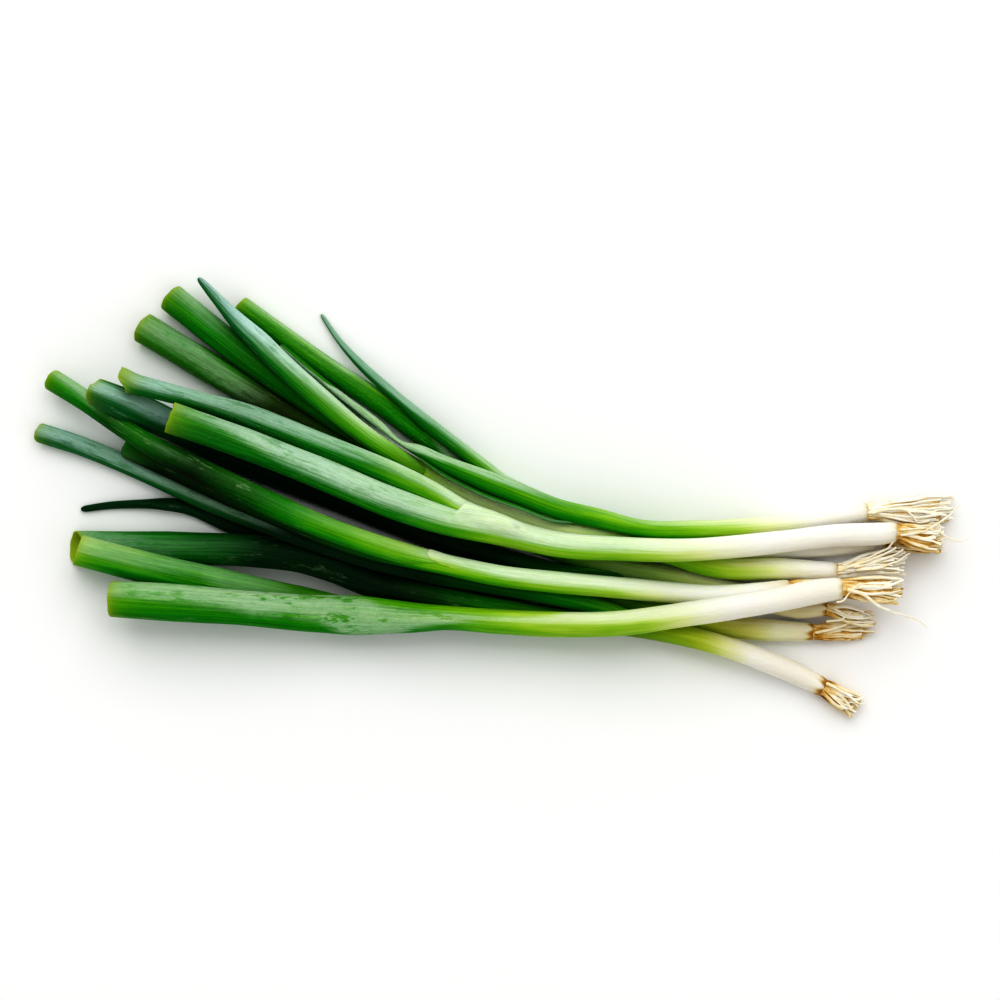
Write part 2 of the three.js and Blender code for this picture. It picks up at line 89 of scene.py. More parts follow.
# %% Stations
PIECES = [
    ("g", "stalk", [
        (139, -47.5, 8.1, 0.6), (127.5, -48.5, 7.4, 0.7), (116.5, -49, 6.7), (103.5, -48.5, 7.8),
        (89, -47.5, 7.8), (77.5, -46, 7.8), (66.5, -43, 7.8), (52, -39, 7.8), (22, -35, 7.8, 0.9),
        (-7.5, -31.5, 7.8, 0.8), (-37, -26.5, 7.6, 0.75), (-66.5, -20.5, 7.2, 0.7),
        (-89, -14, 6.8, 0.7), (-103.5, -7.7, 6.1, 0.72), (-116.5, -2.6, 5.4, 0.75),
        (-126, -1.5, 5.5, 0.7), (-133, -1.5, 4.3, 0.75), (-145, -2, 3.1, 0.8), (-156, -3.5, 2.1),
    ]),
    ("i", "stalk", [
        (132.5, -77, 10.4, 0.6), (126.5, -73.5, 8.5, 0.8), (120.5, -70, 7), (111, -65, 7.9),
        (96, -58.8, 7.7), (81.5, -53.7, 7.7), (66.5, -49.8, 7.7), (52, -47, 8.1), (22, -44, 8.5),
        (0, -41, 8.9), (-22, -37, 10, 0.95), (-44.5, -32, 10.7, 0.85), (-63, -24.7, 10.7, 0.8),
        (-74, -21.5, 10.8, 0.8), (-89, -19.2, 11.4, 0.75), (-118.5, -18, 12.2, 0.7),
        (-157.5, -18, 12.6, 0.7),
    ]),
    ("h", "stalk", [
        (139, -44.5, 6.7, 0.6), (130, -42.5, 6.3, 0.7), (121.5, -40.5, 5.5), (111, -40.5, 7),
        (103.5, -39, 7.4), (96, -36.5, 7.4), (81.5, -32, 7.4), (66.5, -29, 7.4), (37, -23.5, 7.4),
        (22, -19, 7.6), (0, -11, 7.8), (-18.5, -2, 8.1), (-37, 8, 8.5, 0.9), (-63, 23.5, 8.9, 0.85),
        (-81.5, 33.5, 9.6, 0.8), (-96, 42, 10.4, 0.8), (-111, 51, 11.1, 0.8),
        (-132.5, 64, 11.1, 0.8),
    ]),
    ("i", "leaf", [
        (57.5, -47.5, 3.7), (45, -42.5, 5.5), (37, -39.5, 6.3, 0.9), (22, -36, 6.8, 0.85),
        (-7.5, -30.5, 7.2, 0.8), (-22, -28, 7.4, 0.75), (-37, -24.5, 7.4, 0.75),
        (-52, -20.5, 7.4, 0.75), (-81.5, -10.5, 7.4, 0.75), (-110.5, 0.5, 7, 0.8),
        (-140.5, 14, 7, 0.85), (-155.5, 20, 7, 0.9), (-171, 25, 7, 0.9),
    ]),
    ("c", "stalk", [
        (164.5, -17, 8.1, 0.5), (153.5, -16.5, 6.7, 0.7), (143.5, -15, 6.7), (133, -16, 7.4),
        (118.5, -17.5, 7.4), (96, -18.5, 7.4), (74, -18, 7.4), (52, -14, 7.4), (29.5, -7, 7.4),
        (7.5, 2.5, 7.4), (-15, 14, 7.4, 0.95), (-29.5, 24.5, 7.8, 0.9), (-44.5, 36, 8.1, 0.85),
        (-67, 50.9, 7.9, 0.85), (-96.4, 71.8, 7.9, 0.9),
    ]),
    ("c", "leaf", [
        (28, -6, 3), (16.5, -2, 4.1), (7.5, 2, 4.8), (0, 7.5, 5.2), (-15, 19, 5.5),
        (-29.5, 30.5, 4.7), (-37, 37, 3.8), (-44.5, 43.5, 3.7), (-52, 50.5, 3.1), (-59.4, 58.7, 2),
        (-66.6, 69.2, 1.1),
    ]),
    ("d", "stalk", [
        (150, -22.5, 12.6, 0.6), (137, -24, 9.2, 0.8), (125.5, -26.5, 6.7), (118.5, -26.5, 7.4),
        (103.5, -25.5, 7.8), (85, -25.5, 7.8), (74, -23.5, 7.8), (66.5, -21, 7.8), (52, -17, 7.8),
        (37, -13.5, 7.6), (15, -9, 7.2), (-7.5, -1, 6.8), (-22, 6.5, 6.7, 0.9), (-37, 15, 7, 0.6),
        (-55.5, 26.5, 8.1, 0.6), (-70.5, 36.5, 8.7, 0.75), (-100, 57.5, 10.2, 0.8),
        (-122, 75, 10.6, 0.8),
    ]),
    ("a", "stalk", [
        (168.5, -5, 14.8, 0.5), (152.5, -5, 11.8, 0.65), (137, -4.5, 7), (126, -6, 7.4),
        (111, -8.5, 7.2), (96, -10, 7), (74, -11, 6.8), (52, -10.5, 6.5), (37, -7, 7.2),
        (22, -3.5, 7.4, 0.95), (7.5, 2, 7.6, 0.9), (-7.5, 8, 7.4, 0.9), (-22, 14, 5.9, 0.9),
        (-30.5, 18.5, 4.1, 1.1), (-36.5, 21, 1.8, 2.2), (-44.5, 27.5, 3.1, 1.5),
        (-59, 38.5, 2.8, 1.6), (-81.5, 57.5, 1.8, 1.8),
    ]),
    ("a", "leaf", [
        (37, -7, 1.5), (29, -8, 1.8), (22, -8, 2.2), (7.5, -3, 2.4), (-7.5, 2.5, 2.4),
        (-22, 10, 2), (-30.5, 16, 0.9),
    ]),
    ("d", "leaf", [
        (-16.5, 4, 2.4), (-28, 10, 5, 0.8), (-37, 15, 6.7, 0.8), (-52, 25.5, 7, 0.8),
        (-66.5, 37.5, 7.8, 0.8), (-81.5, 51, 8.1, 0.85), (-89, 58.5, 8, 0.9), (-96, 65, 6.7),
        (-103.5, 73, 4.3), (-107.5, 77.5, 3.3), (-112, 82.5, 1.8),
    ]),
    ("h", "leaf", [
        (55.5, -27.5, 3), (48, -27, 4.1), (40.5, -26.5, 4.8), (22, -26.5, 5.9), (7.5, -23.5, 7),
        (-7.5, -19, 7.4), (-22, -15, 8.1, 0.95), (-37, -9, 8.9, 0.9), (-59, 0, 9.6, 0.88),
        (-74, 6, 10.4, 0.85), (-102, 17.5, 10.7, 0.85), (-118.5, 26, 11.1, 0.85),
        (-133, 33, 11.8, 0.8), (-149.5, 40, 10.5, 0.8),
    ]),
    ("e", "stalk", [
        (125, -32, 7.4, 0.6), (116.5, -32.5, 6.7, 0.7), (107.5, -33, 7), (96, -34.5, 7.8),
        (81.5, -35.5, 7.8), (66.5, -34.5, 7.8), (44.5, -32.5, 7.8), (22, -30.5, 7.8),
        (0, -28, 7.8, 0.95), (-22, -23.5, 7.4, 0.85), (-37, -20.5, 7.4, 0.55),
        (-52, -17, 7.4, 0.5), (-66.5, -12, 7.4, 0.55), (-96, 0, 7.4, 0.55), (-140, 20, 7.4, 0.55),
    ]),
    ("e", "leaf", [
        (-9, -25.5, 2.4), (-18.5, -23.2, 4, 0.9), (-27.5, -21.4, 6.6, 0.75), (-37, -19.2, 7.8, 0.8),
        (-44.5, -17, 7.8, 0.8), (-58, -12.5, 8.1, 0.8), (-88, 0, 9.1, 0.75), (-102, 6.5, 9.2, 0.75),
        (-117, 14, 8.7, 0.8), (-132, 22, 7.4, 0.9), (-140.5, 27.5, 7, 0.9),
        (-155.5, 38, 7.6, 0.9), (-166, 44.5, 7.8, 0.9),
    ]),
    ("b", "leaf", [
        (8, -11, 2.4), (1.5, -8.6, 4.2), (-7.5, -6, 6), (-14, -3, 6.4), (-22, 1.5, 7, 0.85),
        (-37, 8.5, 8.5, 0.75), (-66.5, 20.5, 8.7, 0.75), (-81.5, 26.5, 8.9, 0.75), (-96, 32, 8.4, 0.8),
        (-111, 36.5, 6.8, 0.9), (-126, 40.5, 7, 0.85), (-140, 44, 8.1, 0.7),
    ]),
    ("b", "stalk", [
        (164.5, -14.5, 11.1, 0.7), (156, -14, 10, 0.75), (147, -12, 7.4), (140.5, -12.5, 8.1),
        (126, -13, 8.1), (103.5, -15.5, 8.1), (89, -17, 8.1), (66.5, -18.5, 8.3), (44.5, -18, 8.9),
        (22, -16.5, 9.2), (0, -11.5, 10.2, 0.92), (-22, -7, 10.7, 0.85), (-37, -2, 11.3, 0.82),
        (-66.5, 10, 11.3, 0.8), (-96, 21.5, 11.3, 0.8), (-121.5, 30.5, 11.3, 0.82),
    ]),
    ("f", "leaf", [
        (-33.5, -43.5, 4.4), (-40.5, -42.5, 6.3, 0.8), (-48, -41.5, 7.8, 0.65),
        (-59, -40, 8.9, 0.6), (-74, -37.2, 10, 0.7), (-103.5, -31.2, 11.5, 0.75),
        (-133, -24.5, 11.5, 0.75), (-156, -18.5, 11.7, 0.75),
    ]),
    ("f", "stalk", [
        (148.5, -33.5, 11.1, 0.6), (137.5, -33, 9.6, 0.8), (126.5, -32.5, 7.8),
        (118.5, -33.5, 8.9), (103.5, -36.5, 8.9), (89, -39, 8.9), (66.5, -42.5, 8.9),
        (44.5, -45.5, 9.2), (22, -46, 9.2), (0, -45, 8.9), (-22, -43.5, 9.2, 0.95),
        (-29.5, -43.5, 10.7, 0.8), (-40.5, -43.1, 12.5, 0.54), (-53.5, -42.6, 14.4, 0.44),
        (-66.5, -42.1, 13.6, 0.5), (-96, -39.7, 12.9, 0.64), (-126, -37.5, 13.7, 0.7),
        (-143.5, -36.5, 12.9, 0.72),
    ]),
]
PLANS = {(name, kind): stations for name, kind, stations in PIECES}
PLATE = 2  # the station of the base plate
# The station of a young leaf at which it comes out of its sheath
MOUTH = {"a": 1, "b": 3, "c": 1, "d": 1, "e": 2, "f": 2, "h": 2, "i": 1}
PLAN_MIDDLE = (-1.3, 2.3)  # the point of the plan that lies over the origin
print("stalks and leaves:", len(PIECES))

# %% [markdown]
# ## Smooth paths
#
# A stalk has no corners, so its stations are joined by a cubic curve whose slope at a station is
# the average of the two spans beside it. A Bézier object could do the same, but here the width
# and the height have to follow the same curve as the place, so all four go through one function.

# %% Trace a path through its stations
LAY_SPACING = 2.5  # between the samples that are laid on each other


def trace_path(stations, spacing):
    """Samples of x, y, width and height an even distance apart, and the stations' distances."""
    knots = np.array([
        (s[0] - PLAN_MIDDLE[0], s[1] - PLAN_MIDDLE[1], s[2], s[2] * (s[3] if len(s) > 3 else 1))
        for s in stations
    ])
    steps = np.hypot(*np.diff(knots[:, :2], axis=0).T)
    along = np.concatenate([[0], np.cumsum(steps)])
    secant = np.diff(knots, axis=0) / steps[:, None]
    before, after = steps[:-1, None], steps[1:, None]
    inner = (secant[:-1] * after + secant[1:] * before) / (before + after)
    slope = np.vstack([secant[:1], inner, secant[-1:]])
    s = np.linspace(0, along[-1], math.ceil(along[-1] / spacing) + 1)
    span = np.clip(np.searchsorted(along, s) - 1, 0, len(knots) - 2)
    size = steps[span][:, None]
    t = (s - along[span])[:, None] / size
    value = (
        (2 * t**3 - 3 * t**2 + 1) * knots[span]
        + (t**3 - 2 * t**2 + t) * size * slope[span]
        + (3 * t**2 - 2 * t**3) * knots[span + 1]
        + (t**3 - t**2) * size * slope[span + 1]
    )
    return s, value, along


def smooth_step(t):
    """0 below 0, 1 above 1, and an even rise between them."""
    t = np.clip(t, 0, 1)
    return t * t * (3 - 2 * t)


longest = max(trace_path(stations, LAY_SPACING)[0][-1] for stations in PLANS.values())
print("longest path, mm:", round(longest, 1))

# %% [markdown]
# ## How each piece lies on the others
#
# The heights come from a lay rule rather than from a simulation: a piece rests on the table or
# on what was laid before it, bridges from one support to the next, and bends down gently after
# the last. It takes milliseconds and gives the same heap on every run.

# %% Lay the bunch
SOLID_SIDES = 10  # a solid's section is ten-sided and lies on one of its flats
CLEARANCE = 0.5
BEND_RADIUS = 110  # how tightly a stalk bends down after a support
SMOOTHING_PASSES = 8
NEST = 24  # length over which a young leaf lies within its own stalk
SOCKET_RISE = 0.12  # how far above the stalk's middle it starts, as a share of the stalk's height
RISE = {("b", "leaf"): -0.06, ("f", "leaf"): -0.1}  # the same for two leaves that start lower
TIP_LIFT = {("h", "leaf"): 15}  # a leaf whose end springs up
LIFTED_LENGTH = 40
PASSES_UNDER = {("e", "leaf"): ("h", "leaf")}  # a later piece that lies under an earlier one


def lay_piece(piece, laid):
    """Gives every sample of a piece its height, z, above the table."""
    xy, width, height = piece["xy"], piece["width"], piece["height"]
    low = height / 2 * math.cos(math.pi / SOLID_SIDES)
    for other in laid:
        if PASSES_UNDER.get(piece["id"]) == other["id"]:
            continue
        gap = np.linalg.norm(xy[:, None] - other["xy"][None], axis=2)
        reach = (width[:, None] + other["width"][None]) / 2 + CLEARANCE
        touching = gap < reach
        if other["id"][0] == piece["id"][0]:
            touching &= np.linalg.norm(xy - piece["mouth"], axis=1)[:, None] >= NEST
            touching &= np.linalg.norm(other["xy"] - piece["mouth"], axis=1)[None] >= NEST
        rise = (height[:, None] + other["height"][None]) / 2 + CLEARANCE
        arch = np.sqrt(np.clip(1 - (gap / reach) ** 2, 0, 1))
        top = np.where(touching, other["z"][None] + rise * arch, -np.inf)
        low = np.maximum(low, top.max(axis=1))
    step = piece["s"][1]
    index = np.arange(len(low))
    sag = ((index[:, None] - index[None]) * step) ** 2 / (2 * BEND_RADIUS)
    z = (low[None] - sag).max(axis=1)
    for _ in range(SMOOTHING_PASSES):
        padded = np.concatenate([z[:1], z, z[-1:]])
        z = np.maximum(low, (padded[:-2] + 2 * z + padded[2:]) / 4)
    past = (piece["s"] - piece["s"][-1] + LIFTED_LENGTH) / LIFTED_LENGTH
    piece["z"] = z + TIP_LIFT.get(piece["id"], 0) * smooth_step(past)


def nest_leaf(leaf, stalk):
    """Starts a young leaf inside its own sheath."""
    nearest = np.argmin(np.linalg.norm(stalk["xy"] - leaf["mouth"], axis=1))
    rise = RISE.get(leaf["id"], SOCKET_RISE)
    start = stalk["z"][nearest] + stalk["height"][nearest] * rise
    past = smooth_step((leaf["s"] - leaf["mouth_at"]) / NEST)
    floor = leaf["height"] / 2 * math.cos(math.pi / SOLID_SIDES)
    leaf["z"] = np.maximum(start + (leaf["z"] - start) * past, floor)


laid = {}
for (name, kind), stations in PLANS.items():
    s, value, along = trace_path(stations, LAY_SPACING)
    piece = {"id": (name, kind), "s": s, "xy": value[:, :2], "width": value[:, 2],
             "height": value[:, 3], "along": along}
    if name in MOUTH:
        piece["mouth"] = np.array(PLANS[(name, "leaf")][MOUTH[name]][:2]) - PLAN_MIDDLE
    if kind == "leaf":
        piece["mouth_at"] = along[MOUTH[name]]
    lay_piece(piece, list(laid.values()))
    laid[(name, kind)] = piece
for (name, kind), piece in laid.items():
    if kind == "leaf":
        nest_leaf(piece, laid[(name, "stalk")])
top_of_heap = max((piece["z"] + piece["height"] / 2).max() for piece in laid.values())
print("top of the heap, mm:", round(top_of_heap, 1))

# %% [markdown]
# ## Skins
#
# The green of a spring onion is a hollow tube with a wall about as thick as a coin. Each skin is
# lofted in mesh code: rings of points along the path, pressed into ellipses, with the cut end
# turned in over its rim and run back down the hollow. Lofting by hand, rather than a bevelled
# curve, lets the rim be ragged or slanted and lets every point carry attributes for the paint:
# where it is on the skin, how green it is there, and how near to the knife's cut.

# %% Points on a skin
SIDES = 56
ROUND = (np.arange(SIDES) * 2 * math.pi / SIDES - math.pi / 2)[None]  # angles, from the underside
FINE_SPACING = 0.8  # between the samples of a path that a skin follows
SMOOTHED = 3  # samples on either side that a height is averaged over
AHEAD = 2  # samples on either side that give the direction of a path
SKIN_GROWTH = 0.12  # closes up part of the clearance between neighbours
SLIMMED = {("a", "leaf"): 0.55}  # a withered leaf, thinner than its solid
THINNEST = 0.12
GROUND = 0.05  # the lowest point of a skin above the table


def fine_path(piece_id):
    """A piece's path at a closer spacing, with the heights smoothed over it."""
    s, value, _ = trace_path(PLANS[piece_id], FINE_SPACING)
    z = np.interp(s, laid[piece_id]["s"], laid[piece_id]["z"])
    kernel = np.hanning(2 * SMOOTHED + 3)[1:-1]
    kernel /= kernel.sum()
    z = np.convolve(np.pad(z, SMOOTHED, mode="edge"), kernel, mode="valid")
    ahead = np.minimum(np.arange(len(s)) + AHEAD, len(s) - 1)
    behind = np.maximum(np.arange(len(s)) - AHEAD, 0)
    forward = value[ahead, :2] - value[behind, :2]
    forward /= np.linalg.norm(forward, axis=1)[:, None]
    return {"id": piece_id, "s": s, "x": value[:, 0], "y": value[:, 1], "z": z,
            "width": value[:, 2], "height": value[:, 3], "fx": forward[:, 0],
            "fy": forward[:, 1], "length": s[-1]}


def along_path(path, key, s):
    """A measure of the path at distances s."""
    return np.interp(s, path["s"], path[key])


def skin_points(path, s, angle, inset, seed, roll=0.0):
    """Points on an upright elliptical skin at distances s and angles, in metres."""
    width = along_path(path, "width", s) / 2 * SLIMMED.get(path["id"], 1) + SKIN_GROWTH - inset
    height = along_path(path, "height", s) / 2 * SLIMMED.get(path["id"], 1) + SKIN_GROWTH - inset
    pressed = 0.012 * np.sin(s / 5.1 + seed) * np.cos(2 * angle + seed)  # now wider, now taller
    swollen = 0.010 * np.sin(s / 11.3 + 2 * seed)  # now thicker, now thinner
    unevenness = 1 + pressed + swollen
    across = np.maximum(width, THINNEST) * np.cos(angle) * unevenness
    up = np.maximum(height, THINNEST) * np.sin(angle) * unevenness
    across, up = (
        across * np.cos(roll) - up * np.sin(roll),
        across * np.sin(roll) + up * np.cos(roll),
    )
    fx, fy = along_path(path, "fx", s), along_path(path, "fy", s)
    x = along_path(path, "x", s) - fy * across
    y = along_path(path, "y", s) + fx * across
    z = np.maximum(along_path(path, "z", s) + up, GROUND)
    return np.stack([x, y, z], axis=-1) * MM


print("sides of a skin:", SIDES)

# %% Mesh between the points
def loft_faces(rings, sides):
    """Quads between rings of points, and a fan over each end, whose middles come after them."""
    faces = []
    for r in range(rings - 1):
        for k in range(sides):
            a, b = r * sides + k, r * sides + (k + 1) % sides
            faces.append((a, b, b + sides, a + sides))
    start, end = rings * sides, rings * sides + 1
    last = (rings - 1) * sides
    for k in range(sides):
        faces.append((start, (k + 1) % sides, k))
        faces.append((end, last + k, last + (k + 1) % sides))
    return faces


def write_attributes(mesh, attributes):
    """Gives a mesh's points the numbers or vectors that the paint and the roots read."""
    for key, values in attributes.items():
        values = np.asarray(values, dtype=np.float32)
        kind = "FLOAT_VECTOR" if values.ndim == 2 else "FLOAT"
        layer = mesh.attributes.new(key, kind, "POINT")
        layer.data.foreach_set("vector" if values.ndim == 2 else "value", values.ravel())


def mesh_object(name, rings, attributes):
    """A smooth mesh object over rings of points, closed at both ends, faces turned outwards."""
    middles = [rings[0].mean(axis=0), rings[-1].mean(axis=0)]
    points = np.vstack([rings.reshape(-1, 3), middles])
    faces = loft_faces(len(rings), SIDES)
    mesh = bpy.data.meshes.new(name)
    mesh.from_pydata([tuple(p) for p in points], [], faces)
    write_attributes(mesh, attributes)
    corners = np.array([[points[v] for v in f[:3]] for f in faces])
    volume = np.einsum("ij,ij->i", corners[:, 0], np.cross(corners[:, 1], corners[:, 2])).sum()
    if volume < 0:
        mesh.flip_normals()
    mesh.shade_smooth()
    mesh.validate()
    return new_object(name, mesh)


def triangles(thing):
    """How many triangles an object's faces make."""
    return sum(len(face.vertices) - 2 for face in thing.data.polygons)


print("faces of a skin with 100 rings:", len(loft_faces(100, SIDES)))

# %% [markdown]
# ## Where the white turns green
#
# The part that grew under earth is white, then the skin turns through cream and yellow-green to
# the deep green of the leaf, sooner on some plants than on others. That change is a function of
# the distance from the base plate, so it is worked out per point and kept as an attribute, and
# one material serves all nine plants. Young leaves also carry a bluer, waxier green.
# The same table also holds painted shadow: stretches that lie under other pieces are darkened past leaf
# green.

# %% Greenness and painted shadow along each piece
# (name, kind): (distance from where the skin starts in mm, greenness there). White is 0, leaf green is
# 1, and above 1 is painted shadow: the green darkens towards the near-black of 2 on stretches that lie
# under other pieces
GREEN_AND_PAINTED_SHADOW = {
    ("a", "stalk"): [(20, 0.0), (38, 0.12), (50, 0.26), (62, 0.34), (74, 0.46), (86, 0.60), (98, 0.56),
                     (110, 0.70), (122, 0.80), (150, 0.78), (165, 0.85), (182, 0.66), (206, 0.68),
                     (216, 0.88)],
    ("a", "leaf"): [(0, 0.85), (10, 1.1), (50, 0.95)],
    ("b", "stalk"): [(50, 0.0), (66, 0.06), (76, 0.14), (90, 0.24), (105, 0.32), (150, 0.36),
                     (160, 0.45), (172, 0.60), (195, 0.74), (230, 0.82), (290, 0.90)],
    ("b", "leaf"): [(0, 0.30), (27, 0.36), (39, 0.48), (51, 0.58), (63, 0.78), (75, 0.92), (150, 0.98)],
    ("c", "stalk"): [(35, 0.0), (60, 0.10), (80, 0.20), (86, 0.45), (94, 0.85), (104, 0.85),
                     (112, 0.74), (130, 0.80), (160, 0.90), (190, 0.97), (205, 0.80), (219, 0.82),
                     (231, 0.78), (255, 0.80)],
    ("c", "leaf"): [(0, 0.68), (27, 0.60), (39, 0.64), (51, 0.85), (75, 0.92), (115, 0.95)],
    ("d", "stalk"): [(8, 0.0), (20, 0.06), (30, 0.17), (40, 0.28), (52, 0.44), (75, 0.42), (90, 0.26),
                     (105, 0.18), (140, 0.20), (155, 0.40), (165, 0.50), (182, 0.62), (200, 1.0),
                     (215, 1.35), (240, 1.25), (252, 1.0), (266, 0.84)],
    ("d", "leaf"): [(0, 0.42), (14, 0.50), (50, 0.56), (63, 0.64), (75, 0.78), (90, 0.85), (115, 0.92)],
    ("e", "stalk"): [(30, 0.0), (40, 0.03), (52, 0.12), (64, 0.20), (80, 0.28), (98, 0.35), (115, 0.41),
                     (134, 0.48), (146, 0.74), (158, 1.0), (170, 1.1), (182, 1.2), (200, 1.25),
                     (240, 1.4), (250, 1.2), (258, 1.0)],
    ("e", "leaf"): [(0, 0.42), (27, 0.42), (39, 0.53), (51, 0.68), (63, 0.77), (75, 1.0), (87, 1.35),
                    (99, 1.5), (111, 1.7), (123, 1.45), (135, 1.15), (147, 1.3), (159, 0.86),
                    (171, 0.88)],
    ("f", "stalk"): [(42, 0.0), (54, 0.06), (64, 0.16), (76, 0.28), (100, 0.33), (120, 0.39),
                     (135, 0.50), (147, 0.63), (160, 0.67), (175, 0.66), (195, 0.70), (207, 0.80),
                     (270, 0.86)],
    ("f", "leaf"): [(0, 0.66), (27, 0.72), (60, 0.80), (95, 0.82), (114, 0.64), (125, 0.50)],
    ("g", "stalk"): [(2, 0.02), (14, 0.05), (26, 0.16), (38, 0.26), (52, 0.42), (64, 0.70),
                     (76, 1.1), (86, 1.35), (122, 1.4), (146, 1.9), (240, 2.0), (262, 1.6)],
    ("h", "stalk"): [(4, 0.02), (26, 0.05), (38, 0.10), (50, 0.20), (62, 0.32), (80, 0.42), (100, 0.7),
                     (120, 0.95), (160, 1.3), (195, 1.6), (218, 1.90), (230, 1.68), (240, 1.1),
                     (270, 0.98)],
    ("h", "leaf"): [(0, 0.5), (15, 0.7), (30, 1.1), (60, 1.9), (170, 2.0), (185, 1.4), (195, 1.1),
                    (210, 1.15)],
    ("i", "stalk"): [(30, 0.0), (40, 0.12), (50, 0.32), (62, 0.50), (74, 0.68), (80, 0.8), (130, 1.25),
                     (150, 1.8), (170, 2.0), (215, 2.0), (230, 1.6), (250, 1.2), (290, 0.98)],
    ("i", "leaf"): [(0, 0.50), (20, 0.70), (40, 1.0), (50, 1.3), (75, 1.55), (90, 1.9), (140, 2.0),
                    (159, 1.65), (183, 1.3), (195, 1.2), (207, 1.0)],
}
print("greening tables for", len(GREEN_AND_PAINTED_SHADOW), "skins")

# %% Blueness, and painted shade on the side away from the light
# (name, kind): (distance in mm, how far the green has turned to a waxy blue-green)
BLUENESS = {
    ("a", "stalk"): [(150, 0.0), (200, 0.15)], ("a", "leaf"): [(0, 0.1)],
    ("b", "stalk"): [(150, 0.0), (175, 0.15), (220, 0.3)],
    ("b", "leaf"): [(50, 0.1), (75, 0.35), (99, 0.45), (123, 0.5), (150, 0.7)],
    ("c", "stalk"): [(150, 0.0), (220, 0.1)], ("c", "leaf"): [(27, 0.0), (63, 0.35), (87, 0.6)],
    ("d", "stalk"): [(200, 0.0), (260, 0.2)],
    ("d", "leaf"): [(45, 0.05), (63, 0.25), (75, 0.4), (87, 0.6), (105, 0.9)],
    ("e", "stalk"): [(0, 0.0)], ("e", "leaf"): [(140, 0.0), (165, 0.1)],
    ("f", "stalk"): [(0, 0.0)], ("f", "leaf"): [(0, 0.1)], ("g", "stalk"): [(100, 0.0), (200, 0.3)],
    ("h", "stalk"): [(180, 0.0), (260, 0.25)], ("h", "leaf"): [(170, 0.3), (190, 0.9), (210, 0.75)],
    ("i", "stalk"): [(150, 0.0), (240, 0.3)],
    ("i", "leaf"): [(130, 0.2), (160, 0.35), (183, 0.5), (207, 0.7), (231, 0.8)],
}
# How much painted shade deepens the green on the side away from the light
PAINTED_SHADE = {
    ("a", "stalk"): 0.05, ("a", "leaf"): 0.05, ("b", "stalk"): 0.05, ("b", "leaf"): 0.1,
    ("c", "stalk"): 0.0, ("c", "leaf"): 0.05, ("d", "stalk"): 0.1, ("d", "leaf"): 0.05,
    ("e", "stalk"): 0.85, ("e", "leaf"): 0.35, ("f", "stalk"): 0.0, ("f", "leaf"): 0.05,
    ("g", "stalk"): 0.3, ("h", "stalk"): 0.1, ("h", "leaf"): 0.4, ("i", "stalk"): 0.1,
    ("i", "leaf"): 0.2,
}
# The side the light comes from, far and up: a skin is painted darker on the side away from it, as
# painted shade
LIGHT_SIDE = np.array([0.0, 0.90, 0.436])  # far and up: a skin is darker on the side away from it
print("bluest:", max(BLUENESS, key=lambda piece_id: BLUENESS[piece_id][-1][1]))
